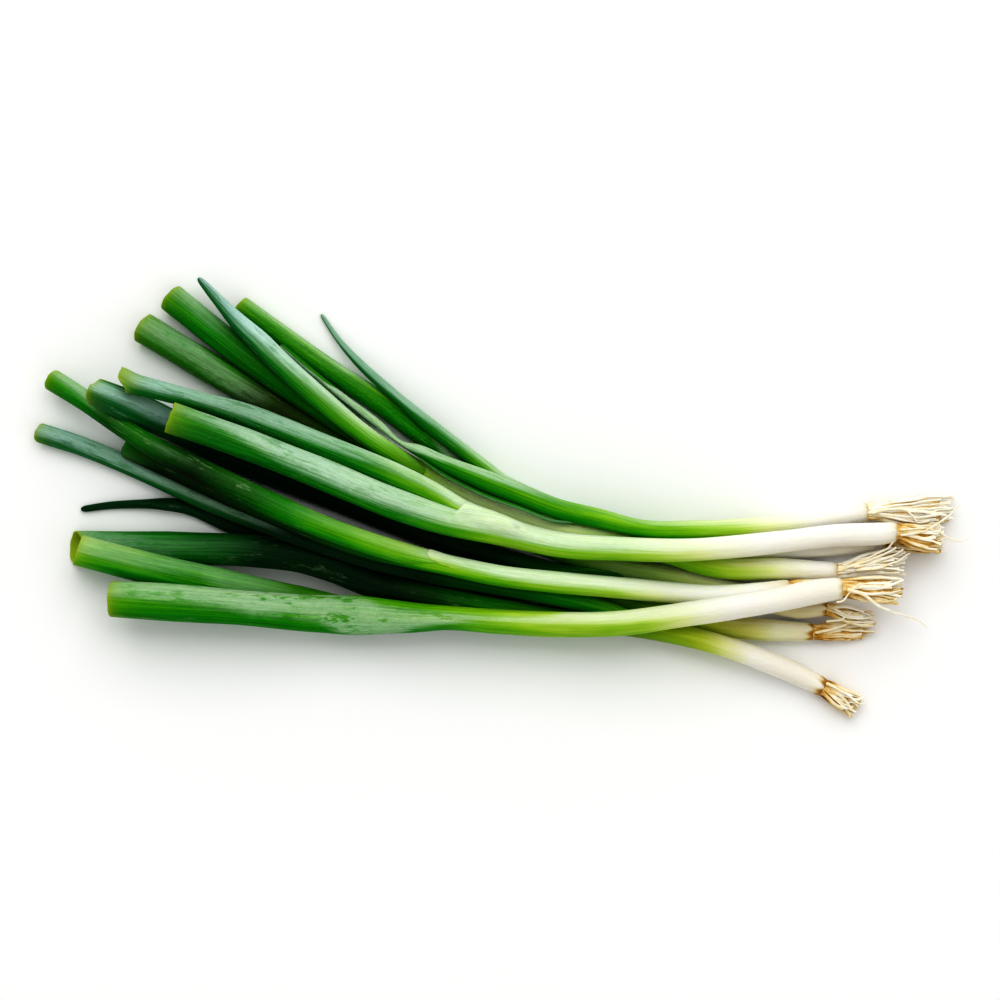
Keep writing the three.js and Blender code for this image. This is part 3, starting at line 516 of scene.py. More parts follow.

# %% [markdown]
# ## Bloom, painted highlight and wear
#
# Leeks and onions wear a thin white wax, the bloom. It lies thickest where nothing rubbed it off, often
# as a band along one side with a streaky edge, and handling scuffs it away in flakes. Here the band
# also stands for the sheen of the light on the side that faces it, so it is wax bloom and painted
# highlight together. A painted mask could say where it is, but a list of where the band starts and ends
# round the tube is shorter and follows every bend by itself.

# %% Bloom and painted highlight along each piece
# (name, kind): (distance in mm, thickness, and from where to where round the tube the wax bloom and
# painted highlight lie, in degrees: 0 is the far side, 90 the top and 180 the near side)
BLOOM_AND_HIGHLIGHT = {
    ("a", "stalk"): [(0, 0.20, -40, 90), (38, 0.40, -40, 75), (60, 0.36, -40, 74), (80, 0.30, -40, 66),
                     (98, 0.15, -40, 60), (110, 0.08, -40, 60), (122, 0.25, -40, 62),
                     (134, 0.50, -40, 66), (146, 0.54, -40, 70), (160, 0.52, -40, 70),
                     (170, 0.60, -40, 98), (182, 0.60, -40, 190), (194, 0.60, -40, 150),
                     (206, 0.60, -40, 140), (216, 0.70, 78, 190), (230, 0.76, 96, 210)],
    ("a", "leaf"): [(0, 0.30, 30, 120), (30, 0.25, 80, 170), (42, 0.35, 95, 200)],
    ("b", "stalk"): [(0, 0.30, -40, 100), (60, 0.45, -40, 95), (90, 0.64, -40, 96),
                     (140, 0.68, -40, 103), (170, 0.62, -40, 98), (206, 0.64, -40, 107),
                     (235, 0.62, -40, 94), (246, 0.60, -40, 84), (256, 0.52, -40, 72),
                     (268, 0.32, -40, 66)],
    ("b", "leaf"): [(0, 0.62, -40, 100), (27, 0.60, -40, 86), (39, 0.58, -40, 72), (60, 0.50, -40, 70),
                    (75, 0.52, -40, 80), (99, 0.55, -40, 90), (111, 0.50, -40, 102),
                    (135, 0.52, -40, 100), (143, 0.56, -40, 104), (150, 0.50, -40, 96)],
    ("c", "stalk"): [(0, 0.30, -40, 90), (75, 0.45, -40, 100), (86, 0.05, -40, 60),
                     (110, 0.10, -40, 60), (122, 0.45, -40, 60), (135, 0.60, -40, 62),
                     (160, 0.55, -40, 66), (170, 0.50, -40, 118), (178, 0.20, -40, 70),
                     (185, 0.03, -40, 50), (205, 0.05, -40, 60), (219, 0.50, -40, 62),
                     (231, 0.38, -40, 62), (255, 0.32, -40, 62)],
    ("c", "leaf"): [(0, 0.40, -40, 50), (27, 0.60, -40, 78), (39, 0.45, -40, 64), (51, 0.50, -40, 66),
                    (63, 0.42, -40, 70), (75, 0.46, -40, 95), (99, 0.45, -40, 110),
                    (115, 0.45, -40, 130)],
    ("d", "stalk"): [(0, 0.30, -40, 110), (30, 0.05, -40, 60), (75, 0.05, -40, 60),
                     (90, 0.35, -40, 150), (150, 0.30, -40, 150), (160, 0.05, -40, 80),
                     (170, 0.20, -40, 52), (182, 0.62, -40, 52), (194, 0.25, -40, 52),
                     (205, 0.10, -40, 60), (245, 0.05, -40, 60), (256, 0.18, -40, 76),
                     (268, 0.36, -40, 70)],
    ("d", "leaf"): [(0, 0.10, -40, 60), (27, 0.12, -40, 60), (39, 0.62, -40, 62), (63, 0.76, -40, 72),
                    (75, 0.72, -40, 80), (87, 0.74, -40, 90), (99, 0.76, -40, 92),
                    (111, 0.62, -40, 84)],
    ("e", "stalk"): [(0, 0.30, -40, 110), (38, 0.45, -40, 105), (60, 0.68, -40, 100),
                     (98, 0.68, -40, 95), (134, 0.64, -40, 76), (150, 0.10, -40, 60),
                     (160, 0.0, -40, 60), (244, 0.0, 95, 220), (254, 0.06, 95, 220)],
    ("e", "leaf"): [(0, 0.50, -40, 92), (15, 0.50, -40, 92), (27, 0.20, -40, 90), (51, 0.15, -40, 80),
                    (63, 0.12, -40, 80), (75, 0.05, 60, 90), (92, 0.04, 40, 90), (110, 0.03, 60, 90),
                    (123, 0.16, 55, 88), (135, 0.05, 60, 90), (150, 0.06, 60, 100),
                    (159, 0.42, -40, 85), (171, 0.42, -40, 66)],
    ("f", "stalk"): [(0, 0.30, -40, 110), (50, 0.45, -40, 98), (75, 0.58, -40, 84), (96, 0.58, -20, 82),
                     (108, 0.50, 40, 84), (120, 0.46, 60, 86), (135, 0.44, 71, 92),
                     (147, 0.50, 71, 118), (159, 0.42, 74, 128), (171, 0.44, 74, 195),
                     (183, 0.40, 40, 150), (195, 0.48, -20, 96), (207, 0.48, -40, 94),
                     (219, 0.52, -40, 99), (231, 0.48, -40, 90), (255, 0.46, -40, 82),
                     (267, 0.40, -40, 80)],
    ("f", "leaf"): [(0, 0.26, -40, 150), (22, 0.10, 80, 170), (40, 0.08, 80, 170), (60, 0.20, -20, 130),
                    (80, 0.20, -40, 75), (99, 0.22, -40, 90), (114, 0.28, -40, 90),
                    (123, 0.36, -40, 90)],
    ("g", "stalk"): [(0, 0.10, -40, 90), (50, 0.05, -40, 60), (80, 0.0, -40, 60), (240, 0.0, -40, 70),
                     (254, 0.10, -40, 70), (266, 0.24, -40, 80)],
    ("h", "stalk"): [(0, 0.10, -40, 90), (40, 0.25, -40, 150), (80, 0.30, -40, 150),
                     (100, 0.0, -40, 90), (222, 0.0, 68, 130), (234, 0.20, 68, 130),
                     (254, 0.25, 40, 100), (266, 0.28, -20, 100)],
    ("h", "leaf"): [(0, 0.0, 40, 90), (178, 0.0, 40, 90), (188, 0.52, 40, 92), (195, 0.62, 42, 92),
                    (207, 0.54, 45, 88)],
    ("i", "stalk"): [(0, 0.20, -40, 90), (50, 0.0, -40, 90), (215, 0.0, 50, 95), (230, 0.04, 62, 95),
                     (245, 0.08, 62, 98), (256, 0.12, 62, 140), (266, 0.18, 40, 110),
                     (280, 0.30, 0, 110)],
    ("i", "leaf"): [(0, 0.0, 60, 110), (140, 0.0, 60, 110), (150, 0.18, 62, 108), (171, 0.34, 62, 108),
                    (183, 0.38, 60, 108), (195, 0.46, 58, 112), (207, 0.42, -40, 118),
                    (219, 0.44, -40, 118), (231, 0.48, -40, 108)],
}
# The edge of the band of wax bloom and painted highlight fades over these degrees
BLOOM_AND_HIGHLIGHT_FADE = 55  # degrees over which the bloom's edge fades out
BLOOM_AND_HIGHLIGHT_FADES = {("b", "leaf"): 75, ("d", "leaf"): 110}  # two leaves with a softer edge
print("stretches of bloom:", sum(len(rows) for rows in BLOOM_AND_HIGHLIGHT.values()))

# %% Wear along each piece
# (name, kind): (distance in mm, how scuffed and crumpled the surface is)
WORN = {
    ("f", "stalk"): [(110, 0.1), (145, 0.7), (165, 1.0), (215, 1.0), (235, 0.7), (270, 0.5)],
    ("f", "leaf"): [(0, 0.5), (60, 0.3), (120, 0.3)],
    ("e", "leaf"): [(0, 0.1), (60, 0.3), (85, 0.9), (150, 0.8), (171, 0.3)],
    ("h", "stalk"): [(180, 0.2), (220, 0.7), (270, 0.6)], ("i", "leaf"): [(60, 0.3), (200, 0.6)],
    ("c", "stalk"): [(120, 0.2), (150, 0.4), (190, 0.8), (255, 0.6)],
    ("c", "leaf"): [(0, 0.3), (100, 0.3)],
    ("b", "stalk"): [(100, 0.1), (200, 0.35), (268, 0.6)], ("b", "leaf"): [(30, 0.2), (90, 0.45)],
    ("d", "stalk"): [(90, 0.2), (200, 0.5)], ("d", "leaf"): [(50, 0.15), (90, 0.5)],
    ("a", "stalk"): [(60, 0.1), (150, 0.3), (230, 0.6)], ("a", "leaf"): [(0, 0.4), (50, 0.6)],
    ("e", "stalk"): [(90, 0.1), (150, 0.3), (250, 0.4)], ("g", "stalk"): [(10, 0.3), (100, 0.5)],
    ("h", "leaf"): [(0, 0.2), (200, 0.4)], ("i", "stalk"): [(30, 0.2), (200, 0.4), (280, 0.5)],
}
print("most worn:", max(WORN, key=lambda piece_id: max(row[1] for row in WORN[piece_id])))

# %% [markdown]
# ## Soil, painted shade, dry scale and the knife
#
# Each onion ends in two marks of its own. At its foot, soil and a ragged rim of dry brown scale stain
# the shank, and at its head the knife left an edge that is slanted or a little torn, with paler flesh
# behind it. The same yellowing also runs further along some shanks where other stalks shadow them, and
# there it is painted shade. A picture wrapped round the skin could show both marks, but distances from
# the plate and from the cut stay true when a stalk is moved or bent.

# %% Marks at the two ends
# name: (distance in mm, how strongly the shank is yellowed: by soil near the plate, and as painted
# shade further along, where other stalks shadow it)
SOIL_AND_SHADE = {
    "a": [(0, 0.4), (2, 0.1), (6, 0)], "b": [(0, 0.4), (2, 0.1), (6, 0)],
    "c": [(0, 0.4), (4, 0.1), (30, 0.03), (50, 0)],
    "d": [(0, 0.35), (3, 0.0), (22, 0.02), (34, 0.12), (60, 0.15), (90, 0.05), (110, 0)],
    "e": [(0, 0.5), (4, 0.2), (12, 0)],
    "f": [(0, 0.4), (2, 0.1), (50, 0.0), (66, 0.06), (100, 0.1), (130, 0.06), (160, 0)],
    "g": [(0, 0.25), (14, 0.09), (26, 0.40), (38, 0.35), (55, 0.25), (80, 0.1), (100, 0)],
    "h": [(0, 0.25), (10, 0.40), (22, 0.42), (40, 0.2), (60, 0.15), (90, 0.15), (120, 0.05)],
    "i": [(0, 0.4), (2, 0.1), (30, 0.03), (40, 0.15), (50, 0.35), (70, 0.3), (100, 0.1), (130, 0)],
}
# name: how brown and how wide the rim of dry scale is where the shank meets its plate
DRY_SCALE = {"a": 0.6, "b": 0.55, "c": 0.8, "d": 0.6, "e": 0.6, "f": 0.6, "g": 1.1, "h": 1.0, "i": 1.2}
# (name, kind): (how far the top edge reaches past the bottom one, raggedness), mm
CUT_ENDS = {
    ("b", "stalk"): (-0.2, 0.30), ("c", "stalk"): (1.2, 0.15), ("d", "stalk"): (2.0, 0.2),
    ("h", "stalk"): (1.9, 0.2), ("e", "stalk"): (0.0, 0.15), ("f", "stalk"): (1.3, 0.2),
    ("i", "stalk"): (-2.6, 0.3), ("i", "leaf"): (1.6, 0.2), ("e", "leaf"): (2.1, 0.15),
    ("f", "leaf"): (0.1, 0.15), ("b", "leaf"): (0.4, 0.2), ("h", "leaf"): (2.3, 0.25),
}
SIDE_SLANT = {("e", "stalk"): -0.44, ("f", "leaf"): 0.08}  # cuts that slant sideways
# (name, kind): (how far back from the cut the pale flesh shows through in mm, how strongly)
CUT_GLOW = {("b", "stalk"): (4.5, 0.6), ("f", "stalk"): (3.2, 0.6), ("f", "leaf"): (3.0, 0.5)}
USUAL_GLOW = (2.4, 0.45)
EDGE_GLOW = (0.5, 0.35)  # paler still at the very edge
print("cut ends:", len(CUT_ENDS))

# %% [markdown]
# ## The sheath's mouth
#
# Where a young leaf comes out, the stalk's skin wraps round it like a sleeve and ends in a thin
# rounded tongue. In each section of the stalk the leaf inside is an ellipse, so a ray from the
# stalk's middle finds how far the skin has to swell to cover it. The sleeve is the stalk's own
# skin, moved point by point, so nothing has to be joined to it.

# %% Swell a skin over the leaf inside
# name: paleness of the lip, and where it ends: (degrees round from the far side, mm past the mouth)
SLEEVES = {
    "b": (0.5, [(-40, -3), (0, -1), (40, 1.2), (75, 3.2), (100, 1.6), (125, -0.6), (180, -4)]),
    "c": (0.2, [(-40, -8), (10, 2), (60, 3), (100, -2), (140, -12)]),
    "d": (0.3, [(0, -6), (45, -1), (90, 0.5), (135, -3), (180, -10)]),
    "e": (0.6, [(-20, -1.5), (30, 0.5), (60, 0.2), (78, -1.5), (92, -6), (108, -16), (130, -24)]),
    "f": (0.3, [(-30, -10), (20, 3), (90, 4), (140, -4), (180, -12)]),
}
SLEEVE_WALL = 0.32
SLEEVE_LENGTH = 60
SLEEVE_SPACING = 0.55  # between rings near the mouth
SLEEVE_START = 10  # length over which the swelling begins
LIP_LENGTH = 2.2  # length over which it ends
LIP_GLOW = 5.0  # how far back from the lip the skin is pale
LIP_OVERHANG = 0.8  # how far past the lip it is still pale
FULL_SWELL = 0.25  # a lip that stands out less is less pale
LEAF_REACH, LEAF_FADE = 2.0, 1.2  # a section this far before the leaf's start doesn't swell
SWELL_PASSES = 8


def mouth_place(name):
    """The distance along the stalk at which its young leaf comes out."""
    stalk = laid[(name, "stalk")]
    return stalk["s"][np.argmin(np.linalg.norm(stalk["xy"] - stalk["mouth"], axis=1))]


def sleeve_swell(name, path, leaf, s, angle):
    """How much a stalk's skin swells at s and angle, in mm, and how near that is to the lip."""
    x, y, z, fx, fy, width, height = (
        along_path(path, key, s[:, 0]) for key in ("x", "y", "z", "fx", "fy", "width", "height")
    )
    to_leaf_x, to_leaf_y = leaf["x"][None] - x[:, None], leaf["y"][None] - y[:, None]
    ahead = to_leaf_x * fx[:, None] + to_leaf_y * fy[:, None]
    nearest = np.abs(ahead).argmin(axis=1)
    aside = (leaf["x"][nearest] - x) * -fy + (leaf["y"][nearest] - y) * fx
    above = leaf["z"][nearest] - z
    a = (leaf["width"][nearest] / 2 + SLEEVE_WALL)[:, None]
    b = (leaf["height"][nearest] / 2 + SLEEVE_WALL)[:, None]
    px, pz = width[:, None] / 2 * np.cos(angle), height[:, None] / 2 * np.sin(angle)
    radius = np.hypot(px, pz)
    dx, dz = px / radius, pz / radius
    # The ray leaves the leaf's ellipse at the greater root of qa r^2 - 2 qb r + qc = 0
    qa = (dx / a) ** 2 + (dz / b) ** 2
    qb = dx * aside[:, None] / a**2 + dz * above[:, None] / b**2
    qc = (aside[:, None] / a) ** 2 + (above[:, None] / b) ** 2 - 1
    under_root = qb**2 - qa * qc
    far = np.where(under_root > 0, (qb + np.sqrt(np.maximum(under_root, 0))) / qa, 0)
    begun = smooth_step((LEAF_REACH - np.abs(ahead).min(axis=1)) / LEAF_FADE)
    excess = np.maximum(far - radius, 0) * begun[:, None]
    excess = np.maximum.reduce([np.roll(excess, k, axis=1) for k in (-2, -1, 0, 1, 2)])
    for _ in range(SWELL_PASSES):
        excess = (np.roll(excess, 1, axis=1) + 2 * excess + np.roll(excess, -1, axis=1)) / 4
        excess[1:-1] = (excess[:-2] + 2 * excess[1:-1] + excess[2:]) / 4
    round_from_far = (180 - np.degrees(angle) + 90) % 360 - 90
    lip = mouth_place(name) + np.interp(round_from_far, *zip(*SLEEVES[name][1]))
    cover = smooth_step((lip - s) / LIP_LENGTH) * smooth_step((s - lip + SLEEVE_LENGTH) / SLEEVE_START)
    near = np.exp(-np.abs(lip - s) / LIP_GLOW) * (s < lip + LIP_OVERHANG)
    near = near * np.clip(excess / FULL_SWELL, 0, 1)
    return excess * cover, near * cover


print("sleeves on", ", ".join(SLEEVES))

# %% [markdown]
# ## The stalks and leaves
#
# A stalk skin starts in a rounded shoulder at the base plate, and a young leaf starts unseen
# inside its sheath. Wide ends are cut and hollow, and narrow ends taper to a closed tip.

# %% The ends of a skin
SHOULDER = [(0.0, 1.3), (0.15, 0.7), (0.5, 0.35), (1.2, 0.12), (2.4, 0.0)]  # (distance, inset)
LEAF_WALL = 0.65
RIM = [(0.22, 0.0), (0.05, 0.05), (0.0, 0.2), (0.0, LEAF_WALL - 0.2),
       (0.06, LEAF_WALL - 0.05), (0.3, LEAF_WALL)]  # (distance back from the cut, inset)
BEFORE_RIM = 0.4
BORE = [1.5, 4, 8, 12, 16, 20, 26]  # how far back from the cut the rings of the hollow lie
SMALLEST_BORE = 4.2  # an end narrower than this is a closed tip
TIP_LENGTH = 2.5
TIP_RINGS = [0.3, 0.6, 0.8, 0.93]  # places on the rounded tip, as shares of its length
RING_SPACING = 1.7
CLOSE_RINGS = (14, 9)  # how far before and after the mouth the rings lie closer
CLOSE_GAP = 0.5  # least gap between them and the others
SLEEVED = [(name, "stalk") for name in SLEEVES]
FLAP_LENGTH = 7
FLAP_RISE = 3.2  # how far the near wall of the split leaf ends short of the far one


def ring_rows(piece_id, path, first, hollow):
    """The distance and the inset of every ring of a skin, in mm."""
    last = path["length"]
    stop = last - (BEFORE_RIM if hollow else TIP_LENGTH)
    body = np.linspace(first + SHOULDER[-1][0], stop, math.ceil((last - first) / RING_SPACING))
    if piece_id in SLEEVED:
        mouth_at = mouth_place(piece_id[0])
        close = np.arange(mouth_at - CLOSE_RINGS[0], mouth_at + CLOSE_RINGS[1], SLEEVE_SPACING)
        before, after = body[body < close[0] - CLOSE_GAP], body[body > close[-1] + CLOSE_GAP]
        body = np.concatenate([before, close, after])
    rows = [(first + d, inset) for d, inset in SHOULDER[:-1]] + [(s, 0.0) for s in body]
    if hollow:
        rows += [(last - d, inset) for d, inset in RIM] + [(last - d, LEAF_WALL) for d in BORE]
    else:
        tip = path["width"][-1] / 2
        rows += [(last - TIP_LENGTH * (1 - k), tip * (1 - math.sqrt(1 - k * k))) for k in TIP_RINGS]
    return np.array(rows)


def flap_share(angle):
    """1 on the far wall of the split leaf and 0 on the near one."""
    return smooth_step((0.35 - np.cos(angle + 0.35)) / 0.5)


def end_edge(piece_id, path, angle):
    """How far the cut end reaches beyond its station at each angle round the tube, mm."""
    reach, ragged = CUT_ENDS.get(piece_id, (0, 0))
    width = path["width"][-1] / 2
    edge = reach * np.sin(angle) + SIDE_SLANT.get(piece_id, 0) * width * np.cos(angle)
    seed = ord(piece_id[0])
    edge += ragged * (np.sin(3 * angle + seed) + 0.7 * np.sin(7 * angle + 2 * seed)) / 2
    if piece_id == ("h", "leaf"):  # the knife slipped: a small step in the edge
        edge += -0.8 * smooth_step((angle - 1.95) / 0.12)
    if piece_id == ("b", "leaf"):  # split along the top: the far wall stands out as a flap
        edge += -FLAP_RISE * (1 - flap_share(angle))
    return edge


print("rings down a hollow end:", len(RIM) + len(BORE))

# %% What the paint reads
GRAIN_RADIUS = 5  # every skin's grain is read from a tube of this radius


def with_ends(values):
    """Values at the points of all rings, then those of the middles of the two end rings."""
    values = np.asarray(values).reshape(-1, SIDES)
    return np.concatenate([values.ravel(), [values[0].mean(), values[-1].mean()]])


def grain_places(place, angle, seed):
    """Where each point is on the skin: two coordinates round the tube and one along it."""
    grain = np.stack([
        GRAIN_RADIUS * np.cos(angle) + 0 * place, GRAIN_RADIUS * np.sin(angle) + 0 * place,
        place + 0 * angle + 400 * seed,
    ], axis=-1).reshape(-1, 3)
    return np.vstack([grain, grain[:1], grain[-1:]])


def cut_paleness(piece_id, to_cut, angle):
    """How far pale flesh shows through at distances to_cut from a cut, 0 to 1."""
    (length, glow), (edge_length, edge_glow) = CUT_GLOW.get(piece_id, USUAL_GLOW), EDGE_GLOW
    cut = np.exp(-to_cut / length) * glow + np.exp(-to_cut / edge_length) * edge_glow
    if piece_id == ("b", "leaf"):  # the bare inner side of the flap
        cut = np.maximum(cut, 0.8 * flap_share(angle) * np.exp(-((to_cut / 6) ** 2)))
    if piece_id == ("b", "stalk"):  # a pale bruise where the knife came out
        cut = cut + 0.8 * np.exp(-((angle / 0.22) ** 2) - to_cut / 4)
    return cut


def shank_stain_and_shade(name, distance, angle, seed):
    """How strongly soil, painted shade and dry scale stain a shank at distances from its plate, 0 to 1.
    """
    # The rim has three broad scallops and seven small ones
    ragged = 1.3 + 0.6 * np.sin(3 * angle + seed) + 0.5 * np.sin(7 * angle + 2 * seed)
    scale = DRY_SCALE[name] * np.exp(-((distance / (1.5 * DRY_SCALE[name] * ragged)) ** 2))
    return np.maximum(np.interp(distance, *zip(*SOIL_AND_SHADE[name])), scale)


def surface_marks(piece_id, path, s, angle, distance):
    """Bloom and painted highlight, painted shade, and wear at each point, and how far it faces the
    light.
    """
    broad, tall = (along_path(path, key, np.clip(s, 0, path["length"])) / 2
                   for key in ("width", "height"))
    facing_far = -tall * np.cos(angle)
    facing_up = broad * np.sin(angle)
    length = np.hypot(facing_far, facing_up)
    facing_light = (facing_far * LIGHT_SIDE[1] + facing_up * LIGHT_SIDE[2]) / length
    turned = with_ends((np.degrees(np.arctan2(facing_up, facing_far)) + 90) % 360 - 90)
    facing_light = with_ends(facing_light)
    at, thickness, start, end = np.array(BLOOM_AND_HIGHLIGHT[piece_id], dtype=float).T
    where = with_ends(distance)
    within = np.minimum(turned - np.interp(where, at, start), np.interp(where, at, end) - turned)
    return {
        "toward_light": facing_light,
        "bloom_and_highlight": np.interp(where, at, thickness),
        "within": within / BLOOM_AND_HIGHLIGHT_FADES.get(piece_id, BLOOM_AND_HIGHLIGHT_FADE),
        # painted shade, strongest on the side away from the light
        "shade": PAINTED_SHADE[piece_id] * (0.5 - 0.5 * facing_light),
        "worn": np.interp(where, *zip(*WORN[piece_id])),
    }


print("marks for", len(BLOOM_AND_HIGHLIGHT), "skins")

# %% Grow the skins
EDGE_REACH = 6  # a cut's edge may stand out this far past the end of its path
END_LENGTH = 9  # how much of a cut end is drawn out or in by its ragged edge
STEADY_END = 1.2  # the last stretch of it, which moves as one
TWIST = 2.2  # how far g's thin end turns over, in radians
TWIST_START, TWIST_LENGTH = 55, 50
CURL_OUT, CURL_DOWN = 0.9, 1.5  # how far the flap lies open


def grow_skin(piece_id):
    """The skin of a stalk or leaf as a mesh object."""
    name, kind = piece_id
    path = fine_path(piece_id)
    seed = ord(name) % 7 + (2.5 if kind == "leaf" else 0)
    first = laid[piece_id]["along"][PLATE] if kind == "stalk" else 0.0
    last = path["length"]
    hollow = min(path["width"][-1], path["height"][-1]) > SMALLEST_BORE
    s, inset = (column[:, None] for column in ring_rows(piece_id, path, first, hollow).T)
    angle = ROUND
    place = s
    if hollow:
        drawn = smooth_step((s - (last - END_LENGTH)) / (END_LENGTH - STEADY_END))
        place = s + drawn * end_edge(piece_id, path, angle)
    roll = 0.0
    if piece_id == ("g", "stalk"):
        roll = TWIST * smooth_step((s - (last - TWIST_START)) / TWIST_LENGTH)
    distance = (s + 0 * angle) - first
    green = np.interp(distance, *zip(*GREEN_AND_PAINTED_SHADOW[piece_id]))
    if piece_id in SLEEVED:  # the skin swells over the leaf inside, and its lip is pale
        swell, lip = sleeve_swell(name, path, fine_path((name, "leaf")), s, angle)
        inset = inset - swell
        green = green * (1 - lip * SLEEVES[name][0])
    reach_in = np.minimum(place, last + EDGE_REACH)
    points = skin_points(path, reach_in, angle + 0 * s, inset + 0 * angle, seed, roll)
    if piece_id == ("b", "leaf"):  # the flap curls outwards and lies open
        opened = smooth_step((s - (last - FLAP_LENGTH)) / FLAP_LENGTH)
        curl = flap_share(angle) * opened * np.maximum(np.sin(angle) + 1, 0)
        points[..., 1] += CURL_OUT * curl * MM
        points[..., 2] -= CURL_DOWN * curl * MM
    beyond = np.maximum(reach_in - last, 0) * MM
    points[..., 0] += beyond * path["fx"][-1]
    points[..., 1] += beyond * path["fy"][-1]

    to_cut = np.maximum(last - s, 0) + 0 * angle
    cut = cut_paleness(piece_id, to_cut, angle) if hollow else 0 * to_cut
    if hollow:
        cut[-len(BORE) - 2 :] = 1  # the inner wall is as pale as the cut
    attributes = {
        "green": with_ends(green),
        "blue": with_ends(np.interp(distance, *zip(*BLUENESS[piece_id]))),
        "cut": with_ends(np.clip(cut, 0, 1)),
        "soil_and_shade": with_ends(shank_stain_and_shade(name, distance, angle, seed) * (kind == "stalk")),
        "grain": grain_places(place, angle, seed),
        **surface_marks(piece_id, path, s, angle, distance),
    }
    return mesh_object(f"{kind}_skin_{name}", points, attributes), path


skins, paths = {}, {}
for piece_id in PLANS:
    skins[piece_id], paths[piece_id] = grow_skin(piece_id)
print("triangles in the skins:", sum(triangles(skin) for skin in skins.values()))

# %% [markdown]
# ## Skin of the plant
#
# The skin is glossy and waxy. Fine veins run the length of the leaf, a whitish band of wax bloom and
# painted highlight lies over the side that faces the light, with painted shade on the side away from
# it, and a freshly cut edge shows paler, yellower flesh.
# All of it is painted with noise stretched along the leaf, read from the piece's own grain
# attribute, so the veins follow every bend and meet without a seam.

# %% Steps that a material is made of
def fill(tree, made, inputs):
    """Links or sets a node's inputs."""
    for key, value in inputs.items():
        if isinstance(value, bpy.types.NodeSocket):
            tree.links.new(value, made.inputs[key])
        else:
            made.inputs[key].default_value = value


def node(tree, kind, inputs=None, **settings):
    """Adds a node with its settings and inputs."""
    made = tree.nodes.new(kind)
    for key, value in settings.items():
        setattr(made, key, value)
    fill(tree, made, inputs or {})
    return made


def attribute(tree, name, output="Fac"):
    """An attribute of the mesh."""
    return node(tree, "ShaderNodeAttribute", attribute_name=name).outputs[output]


def calculate(tree, operation, a, b=0.0, clamp=False):
    """One step of arithmetic on numbers."""
    return node(tree, "ShaderNodeMath", {0: a, 1: b}, operation=operation, use_clamp=clamp).outputs[0]


def scaled(tree, value, factor, shift, clamp=False):
    """A number times a factor, plus a shift."""
    return node(tree, "ShaderNodeMath", {0: value, 1: factor, 2: shift}, operation="MULTIPLY_ADD",
                use_clamp=clamp).outputs[0]


def between(tree, value, low, high, top=1.0, smooth=False):
    """0 at low, top at high, and a straight or a smooth rise from the one to the other."""
    return node(tree, "ShaderNodeMapRange", {
        "Value": value, "From Min": low, "From Max": high, "To Max": top,
    }, interpolation_type="SMOOTHSTEP" if smooth else "LINEAR").outputs[0]


def ramp(tree, factor, stops):
    """A colour ramp with (position, colour) stops."""
    made = node(tree, "ShaderNodeValToRGB", {"Fac": factor})
    elements = made.color_ramp.elements
    while len(elements) < len(stops):
        elements.new(0.5)
    for element, (position, colour) in zip(elements, stops):
        element.position = position
        element.color = (*colour, 1)
    return made.outputs["Color"]


def mixed(tree, factor, a, b, blend="MIX"):
    """Two colours mixed by a factor."""
    a, b = ((*colour, 1) if isinstance(colour, tuple) else colour for colour in (a, b))
    return node(tree, "ShaderNodeMix", {0: factor, 6: a, 7: b}, data_type="RGBA",
                blend_type=blend).outputs[2]


def tinted(tree, factor, colour, tint):
    """A colour multiplied by a tint, as strongly as the factor says."""
    return mixed(tree, factor, colour, mixed(tree, 1.0, colour, tint, "MULTIPLY"))


def stretched_noise(tree, grain, scale, detail, roughness):
    """Noise in grain coordinates: scale is (around, around, along), in features a millimetre."""
    mapping = node(tree, "ShaderNodeMapping", {"Vector": grain, "Scale": scale})
    return node(tree, "ShaderNodeTexNoise", {
        "Vector": mapping.outputs[0], "Scale": 1.0, "Detail": detail, "Roughness": roughness,
    }).outputs["Fac"]


def new_material(name):
    """A material, its node tree and its shader."""
    material = bpy.data.materials.new(name)
    material.use_nodes = True
    return material, material.node_tree, material.node_tree.nodes["Principled BSDF"]


print("steps: attribute, calculate, scaled, between, ramp, mixed, tinted, stretched_noise")

# %% Skin material
# name: (features per millimetre around, around and along the skin), detail, roughness
PATTERNS = {
    "veins": ((1.9, 1.9, 0.022), 2.0, 0.6),
    "fine": ((4.6, 4.6, 0.07), 2.0, 0.6),
    "streaks": ((0.45, 0.45, 0.011), 3.0, 0.55),
    "patches": ((0.16, 0.16, 0.028), 3.0, 0.55),
    "dust": ((3.0, 3.0, 0.35), 4.0, 0.75),
    "scuffs": ((0.36, 0.36, 0.085), 6.0, 0.70),
    "creases": ((0.42, 0.42, 0.34), 4.0, 0.62),
}
SKIN_COLOURS = [
    (0.00, (0.88, 0.86, 0.79)), (0.16, (0.75, 0.81, 0.40)), (0.34, (0.46, 0.67, 0.09)),
    (0.50, (0.25, 0.53, 0.018)), (0.68, (0.13, 0.42, 0.006)), (0.85, (0.055, 0.32, 0.003)),
    (1.00, (0.018, 0.255, 0.002)),
]
# Painted shadow: the near-black green that greenness above 1 darkens towards
PAINTED_SHADOW_GREEN = (0.0015, 0.020, 0.001)
GLAUCOUS = (0.012, 0.150, 0.050)
BLOOM_AND_HIGHLIGHT_COLOURS = [(0.0, (0.88, 0.88, 0.86)), (0.35, (0.82, 0.89, 0.81)), (1.0, (0.69, 0.83, 0.63))]
COOL_BLOOM_AND_HIGHLIGHT = (0.60, 0.82, 0.80)
SCRATCH = (0.50, 0.62, 0.36)
CUT_FLESH = (0.34, 0.45, 0.03)
# Yellow-tan of soil on a shank, also used as painted shade where other stalks shadow it
STAIN_AND_SHADE = (0.60, 0.42, 0.05)
DRY_BROWN = (0.36, 0.16, 0.03)
